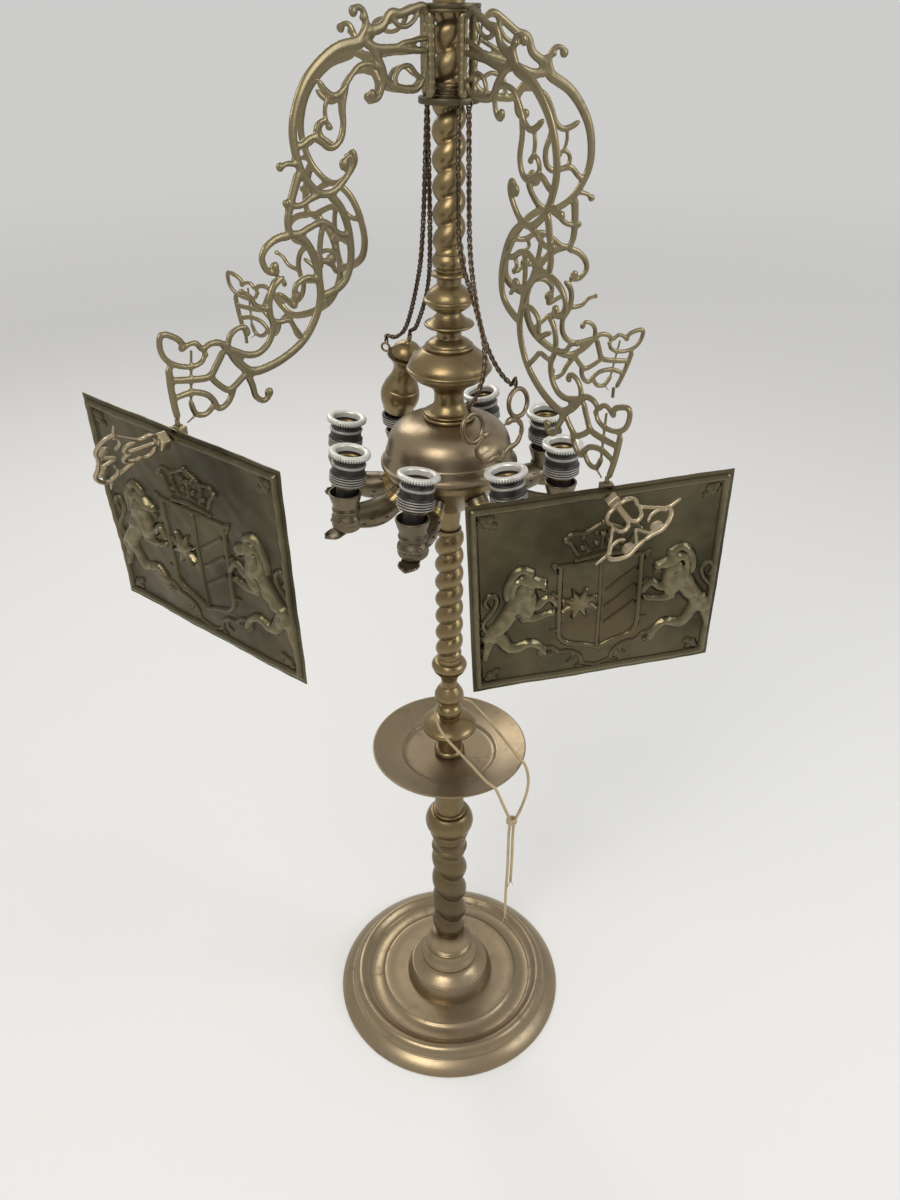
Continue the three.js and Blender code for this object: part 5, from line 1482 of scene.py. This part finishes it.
class LAMP_OT_clips(bpy.types.Operator):
    """Clips, studs and pierced ornaments of the screens"""

    bl_idname = "lamp.clips"
    bl_label = "Clips and ornaments"
    bl_options = {"REGISTER", "UNDO"}

    def execute(self, context):
        thickness = context.scene.lamp_shape.ornament_thickness / MM
        bars = ORNAMENT_BARS + [([(x, -y) for x, y in p], a, b) for p, a, b in ORNAMENT_BARS]
        x, y, radius = ORNAMENT_BALL
        balls = [(x, y, radius), (x, -y, radius)]
        scrollwork = openwork(bars, ORNAMENT_BREADTH, balls, thickness, thickness * 0.6, ORNAMENT_GRAIN)
        for side, (turn, _, _, _, stud_turn, stud_lean) in SCREENS.items():
            stand = Matrix.Translation(pivot(f"screen_{side}_swivel"))
            stud_point = pivot(f"ornament_{side}_turn")
            axis = Vector(JOINTS[f"ornament_{side}_turn"]["axis"])
            start = stand.translation + Vector((0, 0, -STUD_DROP))
            clip = Kit()
            clip.add(block(CLIP, CLIP_EDGE), "pale_brass", stand @ about(turn))
            clip.add(hoop(*CLIP_RING, 24), "pale_brass", stand @ at_height(CLIP[2] / 2 - 0.2))
            reach = (stud_point - start).length + 6
            along = axis.to_track_quat("Z", "Y").to_matrix().to_4x4()
            clip.add(pin(STUD_RADIUS, 0, reach), "pale_brass", Matrix.Translation(start) @ along)
            clip.place(f"screen_clip_{side}_fitting", f"screen_{side}", [f"screen_clip_{side}"])

            ornament = Kit()
            ornament.add(scrollwork, "ornament_brass", Matrix.Translation((NUT[0] - 1, 0, 0)))
            nut = block((NUT[0], NUT[1], NUT[1]), NUT_EDGE, (NUT[0] / 2, 0, 0))
            ornament.add(nut, "ornament_brass")
            place = Matrix.Translation(stud_point) @ about(stud_turn) @ about(-stud_lean, "X")
            place = place @ about(-90) @ about(ORNAMENT_ROLL[side], "X")
            ornament.place(f"ornament_{side}_scrollwork", f"ornament_{side}", [f"ornament_{side}"], place, 50)
        bpy.data.meshes.remove(scrollwork)
        return {"FINISHED"}


# Lamps


def tongue_point(t, side):
    """A point of the tongue, by its share of the length and, from -1 to 1, of the width."""
    width = TONGUE_WIDTH * math.sqrt(max(0.05, 1 - max(0, t - 0.45) ** 2 / 0.33)) * (0.8 + 0.2 * t)
    height = TONGUE_HEIGHT - 4.5 * t - 3.2 * math.sin(t * 2.2) + 7.5 * max(0, t - 0.62) ** 1.4
    return Vector((TONGUE_ROOT + TONGUE_LENGTH * t, side * width, height + 3.0 * side**2 * (0.3 + t)))


def tongue():
    """A curled lip with a beaded edge under a spout's cup."""
    kit = Kit()
    bm = bmesh.new()
    bmesh.ops.create_grid(bm, x_segments=16, y_segments=14, size=0.5)
    for vert in bm.verts:
        vert.co = tongue_point(vert.co.x + 0.5, vert.co.y * 2)
    bmesh.ops.recalc_face_normals(bm, faces=bm.faces)
    bmesh.ops.solidify(bm, geom=list(bm.faces), thickness=TONGUE_WALL)
    kit.add(bm, "spout_brass")
    for i in range(TONGUE_BEADS):
        angle = (i / (TONGUE_BEADS - 1) - 0.5) * math.pi * 1.05
        at = tongue_point(0.45 + 0.55 * math.cos(angle), math.sin(angle))
        kit.add(ball(at + Vector((0, 0, 1)), [TONGUE_BEAD] * 3, 1), "spout_brass")
    return kit.bm


def elbow_radius(t):
    """Radius of a spout's elbow at a share of its length."""
    return ELBOW_RADIUS * (1 + 0.22 * math.sin((t - 0.45) / 0.55 * math.pi) if t > 0.45 else 1)


class LAMP_OT_spouts(bpy.types.Operator):
    """Eight spouts round the oil pan"""

    bl_idname = "lamp.spouts"
    bl_label = "Spouts"
    bl_options = {"REGISTER", "UNDO"}

    def execute(self, context):
        spout = Kit()
        path = smooth_path([(r, 0, z) for r, z in ELBOW], 8)
        last = len(path) - 1
        skin = swept(stations_on(path, lambda t: (elbow_radius(t), elbow_radius(t)), (0, 1, 0)), 28)
        spout.add(skin, "spout_brass")
        # Rings round the elbow, then the scales cast on its far half
        for share in ELBOW_RINGS:
            i = round(share * last)
            run = Vector(path[i + 1]) - Vector(path[i - 1])
            place = Matrix.Translation(path[i]) @ run.to_track_quat("Z", "Y").to_matrix().to_4x4()
            spout.add(hoop(ELBOW_RADIUS + 0.2, 0.85, 32, 6), "gold_brass", place)
        ring = SCALES // 2
        for i in range(SCALES):
            t = 0.46 + 0.48 * (i % ring) / ring
            angle = math.radians(-150 + 300 * ((i * 7) % ring) / (ring - 1))
            out = Vector((0, math.sin(angle), -math.cos(angle) * 0.9)) * (elbow_radius(t) + 0.4)
            spout.add(ball(Vector(path[round(t * last)]) + out, SCALE, 1), "spout_brass")
        cup = Matrix.Translation((LAMP_RADIUS, 0, 0))
        spout.add(lathe(eased(NOZZLE, 0.5), 40), "spout_brass", cup)
        spout.add(hoop(*LIP, 40, 6), "spout_brass", cup @ at_height(LIP_HEIGHT))
        for turn in SHELLS:
            at = polar(SHELL_CIRCLE, turn, 43 + abs(turn) * 0.1)
            spout.add(ball(at, SHELL), "spout_brass", cup)
        spout.add(tongue(), "spout_brass", cup)
        mesh = as_mesh(spout.bm)
        base = low("reservoir_pan")
        for i, (azimuth, _, _) in enumerate(LAMPS, 1):
            piece = Kit()
            piece.finishes = list(spout.finishes)
            piece.bm.from_mesh(mesh)
            place = at_height(base) @ about(azimuth)
            piece.place(f"spout_{i}_cast", "stand", [f"spout_{i}"], place, 50)
        bpy.data.meshes.remove(mesh)
        return {"FINISHED"}


def holder_place(azimuth, lean_x, lean_y):
    """Where a lampholder stands: on the edge of its stem, as far up as its lean needs."""
    lean = lean_matrix(lean_x, lean_y)
    up = lean @ Vector((0, 0, 1))
    lift = GAP + STEM_RADIUS * math.sqrt(1 - up.z**2)
    base = low("reservoir_pan") + SPOUT_SEAT + lift
    return Matrix.Translation(polar(LAMP_RADIUS, azimuth, base)) @ lean


def socket_outline():
    """Outline of the brass screw shell inside a lampholder."""
    thread = []
    for turn in range(SOCKET_THREADS):
        thread += [(r, SOCKET_FOOT + (turn + share) * SOCKET_PITCH) for share, r in SOCKET_WAVE]
    top = SOCKET_FOOT + SOCKET_THREADS * SOCKET_PITCH
    return [*thread, (SOCKET_WAVE[0][1], top), (SOCKET_WALL, top), (SOCKET_WALL, SOCKET_FOOT)]


def knurled_ring(steps):
    """A shade ring with every third line of its rim cut in."""
    ring = lathe(eased(SHADE_RING, 0.5), steps)
    for vert in ring.verts:
        line = round(math.atan2(vert.co.y, vert.co.x) / (2 * math.pi) * steps)
        in_height = KNURL_HEIGHTS[0] < vert.co.z < KNURL_HEIGHTS[1]
        if line % 3 == 0 and in_height and math.hypot(vert.co.x, vert.co.y) > KNURL_FROM:
            vert.co.xy *= 1 - KNURL_DEPTH
    return ring


class LAMP_OT_lampholders(bpy.types.Operator):
    """Eight lampholders with their shade rings; one has lost its upper shell"""

    bl_idname = "lamp.lampholders"
    bl_label = "Lampholders"
    bl_options = {"REGISTER", "UNDO"}

    def execute(self, context):
        for i, (azimuth, lean_x, lean_y) in enumerate(LAMPS, 1):
            place = holder_place(azimuth, lean_x, lean_y)
            bare = i == BARE_LAMP
            profile = HOLDER + (BARE_SOCKET if bare else HOLDER_SHELL + SOCKET)
            holder = Kit()
            holder.finishes = ["holder", "holder_metal", "socket_brass"]
            holder.add(lathe(eased(profile, 0.4), 48), "holder")
            for face in holder.bm.faces:
                at = face.calc_center_median()
                reach = math.hypot(at.x, at.y)
                in_thread = THREADS[0] < at.z < THREADS[-1] + 1.4 and reach > THREAD_CREST
                in_bead = SHELL_BEAD[0] < at.z < SHELL_BEAD[1] and reach > SHELL_BEAD[2]
                if in_thread or in_bead:
                    face.material_index = 1
            if not bare:
                holder.add(lathe(socket_outline(), 40), "socket_brass")
            holder.add(pin(*CONTACT), "socket_brass")
            holder.place(f"lampholder_{i}_shell", "stand", [f"lampholder_{i}"], place, 50)
            if bare:
                continue
            steps = context.scene.lamp_shape.knurls * 3
            knurled = Kit()
            knurled.finishes = ["zinc", "holder"]
            knurled.add(knurled_ring(steps), "zinc")
            # Dark faces in the knurls' hollows, low on the ring
            for face in knurled.bm.faces:
                at = face.calc_center_median()
                step = (math.atan2(at.y, at.x) / (2 * math.pi) * steps) % 3
                in_hollow = math.hypot(at.x, at.y) > DARK_KNURL_FROM and not 1 < step < 2
                if in_hollow and at.z < DARK_KNURL_HEIGHT:
                    face.material_index = 1
            top = place @ at_height(SHELL_TOP + GAP)
            knurled.place(f"shade_ring_{i}_knurled", "stand", [f"shade_ring_{i}"], top, 30)
        return {"FINISHED"}


# Tools and chains


def snuffer_place():
    """The snuffer rests askew on the bare lampholder's top."""
    holder = holder_place(*LAMPS[BARE_LAMP - 1])
    lean = lean_matrix(*SNUFFER_LEAN)
    angle = (holder @ Vector((0, 0, 1, 0))).xyz.angle((lean @ Vector((0, 0, 1, 0))).xyz)
    lift = GAP + SNUFFER_FOOT * math.sin(angle)
    return Matrix.Translation(holder @ Vector((0, 0, HOLDER[-1][1] + lift))) @ lean


def trimmer_place():
    """The trimmer's own plane, at its pivot."""
    across = Vector(TRIMMER_ACROSS).normalized()
    upward = Vector(TRIMMER_UPWARD)
    upward = (upward - across * upward.dot(across)).normalized()
    turn = Matrix((across, upward, across.cross(upward))).transposed().to_4x4()
    return Matrix.Translation(pivot("trimmer_pivot")) @ turn


class LAMP_OT_snuffer(bpy.types.Operator):
    """Snuffer on the bare lampholder"""

    bl_idname = "lamp.snuffer"
    bl_label = "Snuffer"
    bl_options = {"REGISTER", "UNDO"}

    def execute(self, context):
        snuffer = Kit()
        snuffer.add(lathe(eased(SNUFFER, 0.4), 64), "brass")
        out, turn, height, radius, wire = SNUFFER_EYE
        eye = about(turn) @ Matrix.Translation((out, 0, height)) @ about(90, "X")
        snuffer.add(hoop(radius, wire, 28, 10), "brass", eye)
        snuffer.place("snuffer_bell", "snuffer", ["snuffer"], snuffer_place())
        return {"FINISHED"}


def snake_sizes(t):
    """Half width and half depth of a handle, from the blade's tip to the snake's neck."""
    if t < 0.22:
        return (1.2 + 2.6 * math.sin(t / 0.22 * 1.5), 1.2)
    body = 3.1 - 0.4 * math.sin(t * 60) * (0.3 < t < 0.92)
    return (body if t < 0.97 else 1.6, 1.7 if t > 0.3 else 1.4)


class LAMP_OT_trimmer(bpy.types.Operator):
    """Wick trimmer with snake handles and finger rings"""

    bl_idname = "lamp.trimmer"
    bl_label = "Wick trimmer"
    bl_options = {"REGISTER", "UNDO"}

    def execute(self, context):
        for side, way, layer in TRIMMER_HALVES:
            half = Kit()
            path = [(way * x, y, 0) for x, y in smooth_path(SNAKE, 6)]
            half.add(swept(stations_on(path, snake_sizes), 12), "tool_bronze")
            head = Matrix.Translation((way * SNAKE_HEAD[0], SNAKE_HEAD[1], 0)) @ about(way * SNAKE_HEAD_TURN)
            half.add(ball((0, 0, 0), SNAKE_SKULL, 3), "tool_bronze", head)
            half.add(ball((way * 6.4, -0.6, 0), SNAKE_SNOUT), "tool_bronze", head)
            for lift in (1.5, -1.5):
                half.add(ball((way * 1.4, 1.1, lift), SNAKE_EYE, 1), "chain", head)
            cx, cy, radius, wire = TRIMMER_RING
            ring = hoop(radius, wire + TRIMMER_RING_SWELL, 44, 12)
            half.add(ring, "tool_bronze", Matrix.Translation((way * cx, cy, 0)))
            half.add(pin(*PIVOT_DISC, 28), "tool_bronze")
            if side == "left":
                half.add(lathe(eased(PIVOT_CAP, 0.3), 24), "chain")
                half.add(pin(*PIVOT_PIN), "tool_bronze")
                half.add(pin(*PIVOT_NUT), "tool_bronze")
            node = f"trimmer_half_{side}"
            half.place(f"trimmer_{side}_snake", node, [node], trimmer_place() @ at_height(layer), 50)
        return {"FINISHED"}


def link_places(path, pitch):
    """Places of a chain's links on its path; each crosses the one before, and the chain twists a little."""
    path = [Vector(p) for p in path]
    along = np.concatenate([[0], np.cumsum([(b - a).length for a, b in zip(path, path[1:])])])
    count = int(along[-1] / pitch)
    side = Vector((1, 0, 0))
    places = []
    for i in range(count):
        middle = (i + 0.5) * along[-1] / count
        k = max(1, min(int(np.searchsorted(along, middle)), len(path) - 1))
        run = (path[k] - path[k - 1]).normalized()
        at = path[k - 1].lerp(path[k], (middle - along[k - 1]) / (along[k] - along[k - 1]))
        side = (side - run * side.dot(run)).normalized()
        across = Matrix.Rotation(math.radians(90 * (i % 2) + 24 * math.sin(i * 0.21)), 3, run) @ side
        turn = Matrix((across, run, across.cross(run))).transposed().to_4x4()
        places.append(Matrix.Translation(at) @ turn)
    return places


class LAMP_OT_chains(bpy.types.Operator):
    """Loop-in-loop chains of the tools"""

    bl_idname = "lamp.chains"
    bl_label = "Chains"
    bl_options = {"REGISTER", "UNDO"}

    def execute(self, context):
        shape = context.scene.lamp_shape
        wire, width, pitch = shape.chain_wire / MM, shape.chain_width / MM, shape.link_pitch / MM
        link = hoop(width - wire, wire, 12, 6)
        bmesh.ops.transform(link, matrix=Matrix.Diagonal((1, LINK_STRETCH, 1, 1)), verts=link.verts)
        link = as_mesh(link)
        start_z = low("arm_hub") - GAP
        trimmer, snuffer = trimmer_place(), snuffer_place()
        cx, cy, radius, ring_wire = TRIMMER_RING
        out, eye_turn, eye_height, eye_radius, eye_wire = SNUFFER_EYE
        runs = (CHAIN_RUN_IN, 0)
        ends = {}
        for side, way, layer in TRIMMER_HALVES:
            y = cy + radius + ring_wire + GAP
            ends[f"trimmer_chain_{side}"] = [trimmer @ Vector((way * cx, y + add, layer)) for add in runs]
        eye = polar(out, eye_turn, eye_height + eye_radius + eye_wire + GAP)
        ends["snuffer_chain_eye"] = [snuffer @ (eye + Vector((0, 0, add))) for add in runs]
        ends["snuffer_chain_knob"] = [snuffer @ Vector((0, 0, SNUFFER[-1][1] + GAP + add)) for add in runs]
        for node, (routes, body) in CHAINS.items():
            chain = Kit()
            chain.finishes = ["chain"]
            for route in routes:
                run_in, end = ends[route]
                top = polar(CHAIN_CIRCLE, CHAIN_STARTS[route], start_z)
                fall = end.z - start_z
                drape = [Vector((x, y, start_z + fall * share)) for x, y, share in CHAIN_ROUTES[route]]
                for place in link_places(smooth_path([top, *drape, run_in, end], 16), pitch):
                    chain.add(link, "chain", place)
            piece = chain.place(f"{node}_links", None, [node])
            top = polar(CHAIN_CIRCLE, CHAIN_STARTS[routes[0]], start_z)
            lowest = min((ends[route][1] for route in routes), key=lambda end: end.z)
            tuple(lowest * MM)
            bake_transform(piece)
        bpy.data.meshes.remove(link)
        return {"FINISHED"}


class LAMP_OT_hidden_steel(bpy.types.Operator):
    """Steel finish for the rod and the foot plate"""

    bl_idname = "lamp.hidden_steel"
    bl_label = "Rod and foot plate"
    bl_options = {"REGISTER", "UNDO"}

    def execute(self, context):
        for node in ("centre_rod", "foot_plate"):
            for slot in frame["nodes"][node].material_slots:
                slot.material = FINISHES["steel"]
        return {"FINISHED"}


# Panel and registration


class LAMP_PT_panel(bpy.types.Panel):
    """Lists the lamp's build steps"""

    bl_idname = "LAMP_PT_panel"
    bl_label = "Brass Lamp"
    bl_space_type = "VIEW_3D"
    bl_region_type = "UI"
    bl_category = "Lamp"

    def draw(self, context):
        for group in (context.scene.lamp_shape, context.scene.lamp_finish, context.scene.lamp_stage):
            box = self.layout.box()
            for name in group.bl_rna.properties.keys():
                if name not in ("rna_type", "name"):
                    box.prop(group, name)
        for operator in OPERATORS:
            self.layout.operator(operator.bl_idname)


SETTINGS = {"lamp_shape": ShapeSettings, "lamp_finish": FinishSettings, "lamp_stage": StageSettings}
OPERATORS = (
    LAMP_OT_stage,
    LAMP_OT_finishes,
    LAMP_OT_flex,
    LAMP_OT_column,
    LAMP_OT_twists,
    LAMP_OT_hub,
    LAMP_OT_arms,
    LAMP_OT_screens,
    LAMP_OT_clips,
    LAMP_OT_spouts,
    LAMP_OT_lampholders,
    LAMP_OT_snuffer,
    LAMP_OT_trimmer,
    LAMP_OT_chains,
    LAMP_OT_hidden_steel,
)


def register():
    for cls in (*SETTINGS.values(), *OPERATORS, LAMP_PT_panel):
        bpy.utils.register_class(cls)
    for name, group in SETTINGS.items():
        setattr(bpy.types.Scene, name, bpy.props.PointerProperty(type=group))


def unregister():
    for name in SETTINGS:
        delattr(bpy.types.Scene, name)
    for cls in reversed((*SETTINGS.values(), *OPERATORS, LAMP_PT_panel)):
        bpy.utils.unregister_class(cls)


def main():
    register()
    for operator in OPERATORS:
        category, name = operator.bl_idname.split(".")
        getattr(getattr(bpy.ops, category), name)()


if __name__ == "__main__":
    main()
